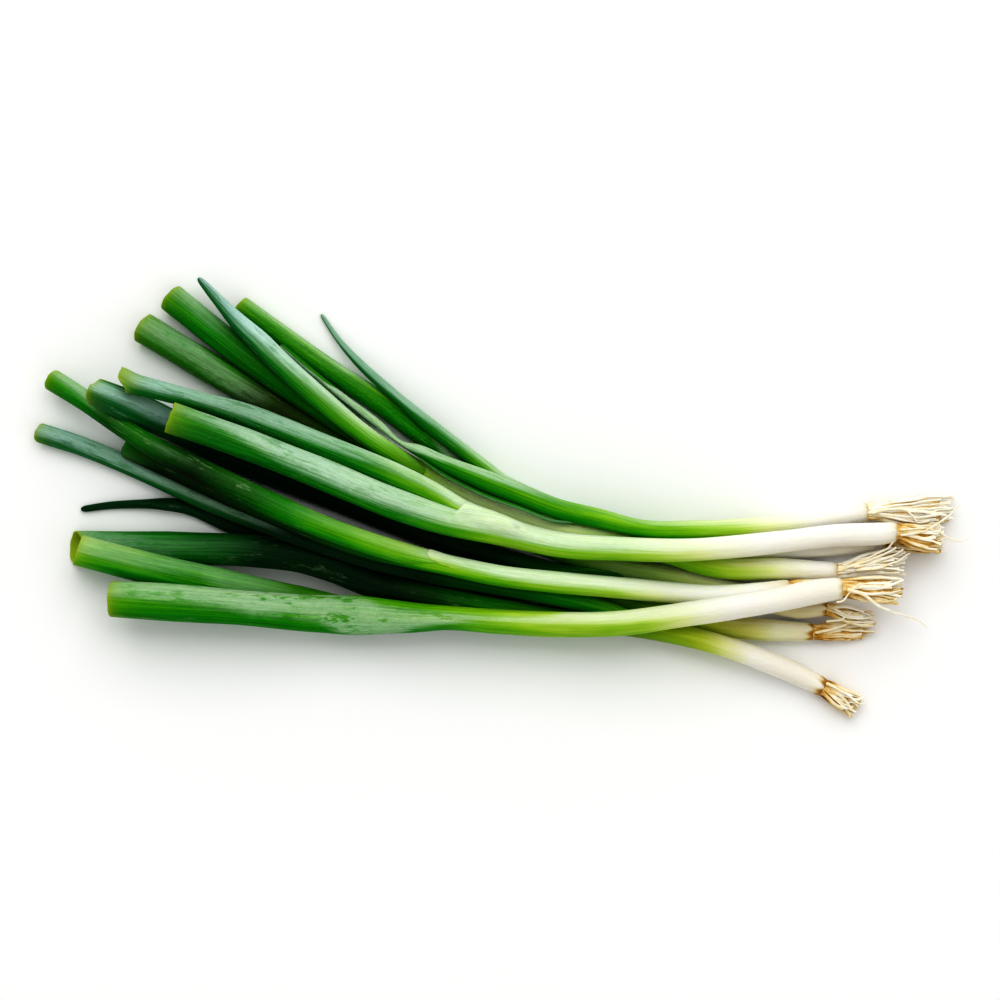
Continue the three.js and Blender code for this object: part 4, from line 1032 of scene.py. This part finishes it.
# Painted light and shade: tints from the side that faces the light, yellower, to the side away from it,
# deeper green; and tints in the dark and light veins
PAINTED_LIGHT_TINTS = [(0.10, (1.15, 1.0, 1.0)), (0.30, (1.3, 1.0, 0.9)), (0.50, (0.50, 0.95, 0.5)),
              (0.72, (0.30, 0.90, 0.4))]
VEIN_TINTS = [(0.36, (0.66, 0.76, 0.7)), (0.50, (1, 1, 1)), (0.64, (1.6, 1.28, 1.5))]
FINE_TINTS = [(0.34, (0.74, 0.82, 0.76)), (0.50, (1, 1, 1)), (0.66, (1.24, 1.14, 1.24))]
VEINING = 0.9  # how strongly the green shows its veins


def leaf_green(tree, pattern, given, green):
    """The colour under the bloom and painted highlight, with painted shade on the side away from the
    light, and how far it has turned from white to green.
    """
    away_from_light = scaled(tree, attribute(tree, "toward_light"), -0.5, 0.5, clamp=True)
    # The white and the deep green are steady, and the change between them is streaky; on the side away
    # from the light it is pushed towards green, as painted shade
    unsteady = calculate(tree, "MULTIPLY", green, calculate(tree, "SUBTRACT", 1.25, green))
    wander = calculate(tree, "ADD", scaled(tree, pattern["patches"], 0.8, -0.4),
                       scaled(tree, pattern["streaks"], 0.6, -0.3))
    shifted = calculate(tree, "MULTIPLY", scaled(tree, away_from_light, 0.45, wander), unsteady)
    level = calculate(tree, "ADD", green, calculate(tree, "MULTIPLY", shifted, 1.8), clamp=True)
    leafy = scaled(tree, level, 2.0, -0.9, clamp=True)
    colour = tinted(tree, leafy, ramp(tree, level, SKIN_COLOURS), ramp(tree, away_from_light, PAINTED_LIGHT_TINTS))
    # Painted shadow: greenness above 1, raised further by the painted shade away from the light,
    # darkens towards near-black green
    shaded = calculate(tree, "MULTIPLY", given, calculate(tree, "ADD", attribute(tree, "shade"), 1.0))
    colour = mixed(tree, calculate(tree, "SUBTRACT", shaded, 1.0, clamp=True), colour, PAINTED_SHADOW_GREEN)
    patchy = calculate(tree, "ADD", pattern["patches"], 0.45)
    blue = calculate(tree, "MULTIPLY", attribute(tree, "blue"), patchy, clamp=True)
    return mixed(tree, blue, colour, GLAUCOUS), level


def bloom_and_highlight_cover(tree, pattern, worn):
    """How thickly the wax bloom and painted highlight lie; the band ends in streaks where the wax was
    rubbed off.
    """
    frayed = scaled(tree, pattern["streaks"], 0.7, attribute(tree, "within"))
    cover = between(tree, scaled(tree, pattern["veins"], 0.5, frayed), 0.25, 0.95, smooth=True)
    rubbed = between(tree, pattern["scuffs"], 0.53, 0.63, top=0.85, smooth=True)
    kept = calculate(tree, "SUBTRACT", 1.0, calculate(tree, "MULTIPLY", rubbed, worn))
    dusty = scaled(tree, pattern["dust"], 1.1, 0.45)
    speckled = calculate(tree, "MULTIPLY", calculate(tree, "MULTIPLY", cover, kept), dusty)
    return calculate(tree, "MULTIPLY", speckled, attribute(tree, "bloom_and_highlight"), clamp=True)


def skin_material(name, roughness, sheen):
    """The skin of a stalk or a young leaf, painted by the attributes of its points."""
    material, tree, shader = new_material(name)
    grain = attribute(tree, "grain", "Vector")
    pattern = {key: stretched_noise(tree, grain, *row) for key, row in PATTERNS.items()}
    worn = attribute(tree, "worn")
    given = attribute(tree, "green")
    green = calculate(tree, "MINIMUM", given, 1.0)
    veined = calculate(tree, "MULTIPLY", green, VEINING)
    colour, level = leaf_green(tree, pattern, given, green)
    colour = tinted(tree, veined, colour, ramp(tree, pattern["veins"], VEIN_TINTS))
    # The whitish band is wax bloom and painted highlight on the side towards the light
    waxy_highlight = bloom_and_highlight_cover(tree, pattern, worn)
    bloom_and_highlight = mixed(tree, attribute(tree, "blue"), ramp(tree, level, BLOOM_AND_HIGHLIGHT_COLOURS), COOL_BLOOM_AND_HIGHLIGHT)
    colour = mixed(tree, waxy_highlight, colour, bloom_and_highlight)
    scratched = between(tree, pattern["scuffs"], 0.40, 0.33, top=0.35)
    colour = mixed(tree, calculate(tree, "MULTIPLY", scratched, worn), colour, SCRATCH)
    colour = tinted(tree, veined, colour, ramp(tree, pattern["fine"], FINE_TINTS))
    colour = mixed(tree, attribute(tree, "cut"), colour, CUT_FLESH)
    # Soil near the plate, and painted shade further along the shank, yellow it
    streaky = calculate(tree, "ADD", pattern["streaks"], 0.5)
    stain_and_shade = calculate(tree, "MULTIPLY", attribute(tree, "soil_and_shade"), streaky, clamp=True)
    colour = mixed(tree, stain_and_shade, colour, STAIN_AND_SHADE)
    colour = mixed(tree, between(tree, stain_and_shade, 0.5, 1.0, top=0.8), colour, DRY_BROWN)

    normal = None
    for height, strength, metres in ((pattern["veins"], 0.55, 0.00030),
                                     (pattern["patches"], 0.4, 0.0016),
                                     (pattern["creases"], worn, 0.0013)):
        bump = node(tree, "ShaderNodeBump", {
            "Height": height, "Strength": strength, "Distance": metres,
        })
        if normal:
            fill(tree, bump, {"Normal": normal})
        normal = bump.outputs[0]
    fill(tree, shader, {
        "Base Color": colour, "Normal": normal,
        "Roughness": scaled(tree, waxy_highlight, 0.25, roughness - 0.03),
        "IOR": 1.45, "Specular IOR Level": 0.14,
        "Subsurface Weight": scaled(tree, green, -0.55, 0.60, clamp=True),  # the white is milky
        "Subsurface Radius": (1.0, 0.9, 0.5), "Subsurface Scale": 0.0028,
        "Sheen Weight": sheen, "Sheen Roughness": 0.5,
        "Coat Weight": 0.03, "Coat Roughness": 0.28,
    })
    return material


stalk_skin = skin_material("stalk skin", 0.40, 0.02)
leaf_skin = skin_material("young leaf skin", 0.42, 0.03)
for (name, kind), skin in skins.items():
    skin.data.materials.append(stalk_skin if kind == "stalk" else leaf_skin)
print("materials:", stalk_skin.name, "and", leaf_skin.name)

# %% [markdown]
# ## Roots
#
# A tuft is forty to ninety limp roots, each as thick as string, that leave a woody plate and were
# trimmed to about the same length. This is work for Geometry Nodes: guide lines say where each
# root goes, and the node tree gives every one its wobble, its thickness and its skin, and closes
# its cut tip.

# %% The node tree for roots
ROOT_SIDES = 7
ROOT_POINTS = 18
WOBBLE_SWING = 4.0  # the centred noise seldom passes a quarter, and this brings it to about 1


def root_tree(material):
    """Builds the tree that turns guide lines into roots."""
    tree = bpy.data.node_groups.new("roots along guide lines", "GeometryNodeTree")
    face = tree.interface
    face.new_socket("Guides", in_out="INPUT", socket_type="NodeSocketGeometry")
    for name, kind, value in (
        ("Wobble", "NodeSocketFloat", 0.0006), ("Waves per metre", "NodeSocketFloat", 180.0),
        ("Flatness", "NodeSocketFloat", 0.7), ("Seed", "NodeSocketFloat", 1.0),
        ("Sides", "NodeSocketInt", ROOT_SIDES), ("Points", "NodeSocketInt", ROOT_POINTS),
    ):
        face.new_socket(name, in_out="INPUT", socket_type=kind).default_value = value
    face.new_socket("Roots", in_out="OUTPUT", socket_type="NodeSocketGeometry")
    given = tree.nodes.new("NodeGroupInput").outputs
    line = node(tree, "GeometryNodeMeshToCurve", {"Mesh": given["Guides"]})
    even = node(tree, "GeometryNodeResampleCurve", {"Curve": line.outputs[0], "Count": given["Points"]})
    where = node(tree, "GeometryNodeInputPosition")
    wave = node(tree, "ShaderNodeTexNoise", {
        "Vector": where.outputs[0], "W": given["Seed"], "Scale": given["Waves per metre"],
        "Detail": 1.0,
    }, noise_dimensions="4D")
    centred = node(tree, "ShaderNodeVectorMath", {0: wave.outputs["Color"], 1: (0.5, 0.5, 0.5)},
                   operation="SUBTRACT")
    travelled = node(tree, "GeometryNodeSplineParameter")
    swing = calculate(tree, "MULTIPLY", travelled.outputs["Factor"], given["Wobble"])
    offset = node(tree, "ShaderNodeVectorMath", {0: centred.outputs[0], "Scale": swing},
                  operation="SCALE")
    swung = node(tree, "ShaderNodeVectorMath", {0: offset.outputs[0], "Scale": WOBBLE_SWING},
                 operation="SCALE")
    wavy = node(tree, "GeometryNodeSetPosition", {
        "Geometry": even.outputs[0], "Offset": swung.outputs[0],
    })
    turn = node(tree, "GeometryNodeInputNamedAttribute", {"Name": "turn"}, data_type="FLOAT")
    tilted = node(tree, "GeometryNodeSetCurveTilt", {"Curve": wavy.outputs[0], "Tilt": turn.outputs[0]})
    thickness = node(tree, "GeometryNodeInputNamedAttribute", {"Name": "thickness"}, data_type="FLOAT")
    ring = node(tree, "GeometryNodeCurvePrimitiveCircle", {"Resolution": given["Sides"], "Radius": 1.0})
    shape = node(tree, "ShaderNodeCombineXYZ", {"X": 1.0, "Y": given["Flatness"], "Z": 1.0})
    oval = node(tree, "GeometryNodeTransform", {"Geometry": ring.outputs[0], "Scale": shape.outputs[0]})
    swept = node(tree, "GeometryNodeCurveToMesh", {
        "Curve": tilted.outputs[0], "Profile Curve": oval.outputs[0],
        "Scale": thickness.outputs[0], "Fill Caps": True,
    })
    real = node(tree, "GeometryNodeRealizeInstances", {"Geometry": swept.outputs[0]})
    coloured = node(tree, "GeometryNodeSetMaterial", {
        "Geometry": real.outputs[0], "Material": material,
    })
    node(tree, "NodeGroupOutput", {"Roots": coloured.outputs[0]})
    return tree


ROOT_COLOURS = [
    (0.0, (0.24, 0.09, 0.008)), (0.25, (0.56, 0.31, 0.05)), (0.5, (0.78, 0.57, 0.24)),
    (0.75, (0.91, 0.80, 0.53)), (1.0, (0.96, 0.93, 0.83)),
]


def root_material():
    """Dry, fibrous and cream-coloured, browner at the plate, with painted shade on the lower and near
    roots and in the core of the tuft.
    """
    material, tree, shader = new_material("dry roots")
    place = node(tree, "ShaderNodeTexCoord").outputs["Object"]
    blotch = node(tree, "ShaderNodeTexNoise", {"Vector": place, "Scale": 420.0, "Detail": 3.0})
    fibre = node(tree, "ShaderNodeTexNoise", {"Vector": place, "Scale": 2600.0, "Detail": 2.0})
    centred = calculate(tree, "SUBTRACT", blotch.outputs["Fac"], 0.5)
    tone = calculate(tree, "ADD", attribute(tree, "tone"),
                     calculate(tree, "MULTIPLY", centred, 0.7), clamp=True)
    bump = node(tree, "ShaderNodeBump", {
        "Height": fibre.outputs["Fac"], "Strength": 0.4, "Distance": 0.0002,
    })
    fill(tree, shader, {
        "Base Color": ramp(tree, tone, ROOT_COLOURS), "Normal": bump.outputs[0],
        "Roughness": 0.62, "Specular IOR Level": 0.15,
    })
    return material


dry_roots = root_material()
roots_tree = root_tree(dry_roots)
print("nodes in the root tree:", len(roots_tree.nodes))

# %% [markdown]
# ## Guide lines
#
# The guides fill the tuft's outline the way seeds fill a sunflower, so no two roots start at the same
# place. Each has its own reach and sway from a seeded random source. A few longer strays are listed one
# by one, because they give a tuft its character. A rough plate closes the foot of the shank and runs on
# as a golden core inside the tuft, a filler painted as the warm shade between the roots, so that no gap
# between them shows the table.

# %% Lines for the roots
GOLDEN_ANGLE = math.pi * (3 - math.sqrt(5))
ROOTS_PER_MM = 6.0  # for each millimetre of the tuft's width
ROOT_RADIUS = 0.56
ROOT_TAPER, STRAY_TAPER = 0.34, 0.4
GUIDE_POINTS = 9
SPREAD, SPREAD_GAIN = 0.92, 0.06  # how wide the roots leave the plate, and how much they splay
BEND_SWAY, TIP_SWAY = (0.9, 0.7), (0.8, 0.6)  # how far they sway across and up
# Painted light and shade: roots on top of a tuft are paler, and those on its near side, away from the
# light, darker
PAINTED_LIGHT_ABOVE, PAINTED_SHADE_NEAR, CHANCE_TONE = 0.28, 0.16, 0.16
PLATE_SHARE, PLATE_SHADE, TIP_TONE = 0.35, 1.25, 0.2  # darker up to this share, paler after it
# name: (shortest, longest root as a share of the tuft, how pale the roots are: their own tone, raised
# as painted light on tufts that lie in other stalks' shade)
TUFTS = {
    "a": (0.72, 1.03, 1.06), "b": (0.66, 1.02, 0.62), "c": (0.60, 1.00, 0.50), "d": (0.64, 1.04, 1.18),
    "e": (0.60, 1.00, 0.60), "f": (0.66, 1.03, 0.60), "g": (0.42, 1.04, 0.54), "h": (0.42, 1.04, 0.72),
    "i": (0.66, 1.04, 0.66),
}
TUFT_SLANT = {"g": 0.45, "a": 0.10}  # how much shorter the roots on the near side are
TANGLE = {"a": 0.9, "d": 1.2, "c": 1.4, "e": 1.4, "g": 1.9, "h": 1.9, "i": 1.3}  # how much they cross
# Strays: plan points in mm, from root to tip, the heights of the two ends and the radius
STRAYS = [
    ("a", [(138, -5), (144, -3.5), (151, -4.2), (153.5, -6.6), (154.7, -8)], (7.2, 7.6), 0.7),
    ("b", [(148, -13), (156, -12.1), (160, -9.7), (164.1, -7.3), (167.6, -3.8), (169.8, -1.8)],
     (16.2, 11), 0.66),
    ("b", [(148, -11), (158.2, -10.3), (162.3, -12.1), (167, -14.7), (169.1, -15.7)], (16, 13), 0.55),
    ("b", [(166, -14), (170.6, -15.7), (172.5, -14.4), (174, -12.4)], (13, 12), 0.26),
    ("b", [(148, -15), (155.8, -16.8), (161.1, -18.6), (165.3, -19.4)], (12, 6), 0.7),
    ("d", [(127, -26), (130.5, -24.5), (137.5, -20.9), (142.9, -18), (145.2, -15)], (9.4, 14), 0.66),
    ("d", [(129, -25), (134.6, -23.3), (142.9, -19.7), (146.4, -17.2)], (10, 13.5), 0.62),
    ("d", [(131, -25), (137.5, -23.9), (145.2, -20.9), (149.3, -17.8)], (10.5, 12.5), 0.62),
    ("d", [(132, -26), (140.5, -25.6), (147.6, -22.1), (151.7, -20)], (11, 12), 0.55),
    ("f", [(124, -37.6), (126.3, -37.4), (128.7, -33.9), (132.8, -30.4)], (21, 20.6), 0.55),
    ("f", [(128, -33), (134, -34.6), (139.3, -39), (145.2, -41.6), (152.3, -43.2)], (20.8, 8), 0.8),
    ("f", [(150, -43), (155.8, -44.5), (158.4, -47.6)], (8.4, 5), 0.3),
    ("h", [(121, -45), (126.3, -44.5), (130.5, -41)], (7.5, 9), 0.6),
    ("h", [(128, -45), (134.6, -45.1), (139.3, -45.3)], (8.4, 8.8), 0.55),
    ("g", [(117, -49.2), (126.3, -47.2), (133, -44.6)], (6.8, 6.4), 0.55),
    ("i", [(121, -68), (122.8, -68.7), (127.5, -71.6), (132.8, -75)], (6.8, 6.6), 0.6),
    ("i", [(131, -75), (134, -75.4), (136.4, -76.1)], (5.5, 4.5), 0.28),
]


def tuft_place(path, plate_at, t, p, q):
    """A place in a tuft, mm: t runs from plate to tips, p across and q up, from -1 to 1."""
    s = plate_at * (1 - t)
    at = max(s, 0.0)
    x, y, z, width, height, fx, fy = (
        along_path(path, key, at) for key in ("x", "y", "z", "width", "height", "fx", "fy")
    )
    across = (width / 2 - ROOT_RADIUS) * p
    beyond = min(s, 0.0)
    up = max(z + (height / 2 - ROOT_RADIUS) * q, ROOT_RADIUS + GROUND)
    return np.array([x - fy * across + fx * beyond, y + fx * across + fy * beyond, up])


def guide_lines(name, random):
    """The points of a tuft's guides in mm, and the tone and radius at each of them."""
    path, plate_at = paths[(name, "stalk")], laid[(name, "stalk")]["along"][PLATE]
    short, long, paleness_and_light = TUFTS[name]
    lines, tones, radii = [], [], []
    count = round(path["width"][0] * ROOTS_PER_MM)
    for n in range(count):
        turn, out = n * GOLDEN_ANGLE, math.sqrt((n + 0.5) / count)
        reach = short + (long - short) * random.random() ** 0.7
        reach *= 1 - TUFT_SLANT.get(name, 0) * max(math.cos(turn), 0) * out
        sway = random.uniform(-0.5, 0.5, 4) * TANGLE.get(name, 1)
        # painted light above and painted shade on the near side
        painted_light = PAINTED_LIGHT_ABOVE * math.sin(turn) - PAINTED_SHADE_NEAR * math.cos(turn)
        tone = paleness_and_light + painted_light * out + random.uniform(-CHANCE_TONE, CHANCE_TONE)
        t = np.linspace(-0.02, reach, GUIDE_POINTS)
        bend = np.sin(t * math.pi)
        spread = SPREAD + SPREAD_GAIN * t
        p = math.cos(turn) * out * spread + sway[0] * bend * BEND_SWAY[0] + sway[2] * t**2 * TIP_SWAY[0]
        q = math.sin(turn) * out * spread + sway[1] * bend * BEND_SWAY[1] + sway[3] * t**2 * TIP_SWAY[1]
        places = zip(t, np.clip(p, -1, 1), np.clip(q, -1, 1))
        lines.append([tuft_place(path, plate_at, *tpq) for tpq in places])
        past = t - PLATE_SHARE
        tones.append(np.clip(tone + PLATE_SHADE * np.minimum(past, 0) + TIP_TONE * past, 0.02, 1.0))
        radii.append(ROOT_RADIUS * random.uniform(0.7, 1.6) * (1 - ROOT_TAPER * t))
    for owner, stray, (base, tip), radius in STRAYS:
        if owner == name:
            points = np.array(stray, dtype=float) - PLAN_MIDDLE
            t = np.linspace(0, 1, GUIDE_POINTS)
            knots = np.linspace(0, 1, len(points))
            x, y = (np.interp(t, knots, column) for column in points.T)
            lines.append(np.stack([x, y, base + (tip - base) * t**2], axis=1))
            tones.append(0.80 + 0.2 * t)
            radii.append(radius * (1 - STRAY_TAPER * t))
    return lines, tones, radii


print("roots of a:", len(guide_lines("a", np.random.default_rng(0))[0]))

# %% Plant the tufts
def plant_tuft(name, seed):
    """The roots of one onion as a mesh object."""
    random = np.random.default_rng(seed)
    lines, tones, radii = guide_lines(name, random)
    points = np.vstack([np.array(line) for line in lines]) * MM
    edges = [(i * GUIDE_POINTS + k, i * GUIDE_POINTS + k + 1)
             for i in range(len(lines)) for k in range(GUIDE_POINTS - 1)]
    mesh = bpy.data.meshes.new(f"guides_{name}")
    mesh.from_pydata([tuple(p) for p in points], edges, [])
    turns = np.repeat(random.uniform(0, math.pi, len(lines)), GUIDE_POINTS)
    write_attributes(mesh, {
        "tone": np.concatenate(tones), "turn": turns, "thickness": np.concatenate(radii) * MM,
    })
    guides = new_object(f"guides_{name}", mesh)
    modifier = guides.modifiers.new("roots", "NODES")
    modifier.node_group = roots_tree
    for socket in roots_tree.interface.items_tree:
        if socket.in_out == "INPUT" and socket.name == "Seed":
            modifier[socket.identifier] = float(seed)
    evaluated = guides.evaluated_get(bpy.context.evaluated_depsgraph_get())
    grown = bpy.data.meshes.new_from_object(evaluated)
    grown.name = f"root_tuft_{name}"
    bpy.data.objects.remove(guides)
    return new_object(f"root_tuft_{name}", grown)


# Rings of the plate, (mm in front of its station, inset), and of the core behind it that fills the
# tuft, painted as the warm shade between the roots, (share of the tuft's length, inset)
PLATE_RINGS = [(0.6, 1.0), (0.2, 0.55), (-0.1, 0.75), (-0.5, 0.9)]
SHADE_CORE_RINGS = [(0.12, 1.1), (0.25, 1.15), (0.4, 1.2), (0.55, 1.4), (0.7, 1.7), (0.84, 2.5)]
SHADE_CORE_START = 0.6  # mm behind the plate's station
SHADE_CORE_GROOVES = 0.22
PLATE_ROUGHNESS = 0.16


def base_plate(name):
    """The rough woody plate under the shank, and behind it a core that fills the tuft, painted as the
    warm shade between the roots.
    """
    path, plate_at = paths[(name, "stalk")], laid[(name, "stalk")]["along"][PLATE]
    angle = ROUND
    s = [plate_at + d for d, _ in PLATE_RINGS] + [plate_at * (1 - share) for share, _ in SHADE_CORE_RINGS]
    s = np.array(s)[:, None]
    in_shade_core = s < plate_at - SHADE_CORE_START
    rough = PLATE_ROUGHNESS * np.sin(9 * angle + ord(name)) * np.sin(5 * s + 4 * angle)
    inset = np.array([inset for _, inset in PLATE_RINGS + SHADE_CORE_RINGS])[:, None] + rough
    inset = inset + SHADE_CORE_GROOVES * np.sin(19 * angle + 0.3 * s) * in_shade_core
    points = skin_points(path, s + 0 * angle, angle + 0 * s, inset, 0.0)
    # Paler on top and darker underneath, as painted light and shade, with bands of tone; the core also
    # takes the tuft's paleness, which carries painted light on shaded tufts
    tone = 0.34 + 0.14 * np.sin(angle) + 0.12 * np.sin(7 * angle + 3 * s)
    tone = tone + 0.35 * (TUFTS[name][2] - 0.85) * in_shade_core
    tone = np.concatenate([np.clip(tone, 0, 1).ravel(), [0.1, 0.1]])
    made = mesh_object(f"plate_{name}", points, {"tone": tone})
    made.data.materials.append(dry_roots)
    return made


tufts = {}
for seed, name in enumerate(sorted(TUFTS), start=21):
    tufts[name] = plant_tuft(name, seed)
    with bpy.context.temp_override(active_object=tufts[name],
                                   selected_editable_objects=[tufts[name], base_plate(name)]):
        bpy.ops.object.join()
    tufts[name].data.shade_smooth()
print("triangles in each tuft:", {name: triangles(tuft) for name, tuft in tufts.items()})

# %% [markdown]
# ## Each piece takes its place
#
# Every visible piece rides on the one body of the bunch, and the solid that it stands for is hidden.

# %% Ride and replace
for (name, kind), skin in skins.items():
    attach(skin, "root")
    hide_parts(f"onion_{name}_{kind}")
for name, tuft in tufts.items():
    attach(tuft, "root")
    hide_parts(f"onion_{name}_roots")
print("pieces:", len(skins) + len(tufts))

# %% [markdown]
# ## Floor and light
#
# A pale matt table, one broad soft window behind the bunch, and a weak even sky. The window's
# light comes in at a slant, so that the far sides of the stalks shine and their near sides stay
# deep green. A ring of lamps would show the form as well, but would wash that difference out.

# %% Floor and light
HALF_FLOOR = 3.0
FLOOR_COLOUR = (0.93, 0.93, 0.92, 1)
WINDOW_PLACE = (0.0, 2.1, 2.7)
WINDOW_SIZE = (4.0, 3.0)
WINDOW_WATTS = 42
ROOM_LIGHT = 0.44

floor_mesh = bpy.data.meshes.new("floor")
corners = [(x * HALF_FLOOR, y * HALF_FLOOR, 0) for x, y in ((-1, -1), (1, -1), (1, 1), (-1, 1))]
floor_mesh.from_pydata(corners, [], [(0, 1, 2, 3)])
floor = new_object("floor", floor_mesh)
floor_paint, floor_tree, floor_shader = new_material("pale table")
fill(floor_tree, floor_shader, {"Base Color": FLOOR_COLOUR, "Roughness": 0.9})
floor_mesh.materials.append(floor_paint)

window_light = bpy.data.lights.new("window", "AREA")
window_light.shape = "RECTANGLE"
window_light.size, window_light.size_y = WINDOW_SIZE
window_light.energy = WINDOW_WATTS
window = new_object("window", window_light)
window.location = WINDOW_PLACE
window.rotation_mode = "QUATERNION"
window.rotation_quaternion = (-Vector(WINDOW_PLACE)).to_track_quat("-Z", "Y")

world = bpy.data.worlds.new("room")
world.use_nodes = True
sky = world.node_tree.nodes["Background"]
fill(world.node_tree, sky, {"Color": (1, 1, 1, 1), "Strength": ROOM_LIGHT})
bpy.context.scene.world = world
bpy.context.scene.view_settings.view_transform = "Standard"
bpy.context.scene.view_settings.look = "Very High Contrast"
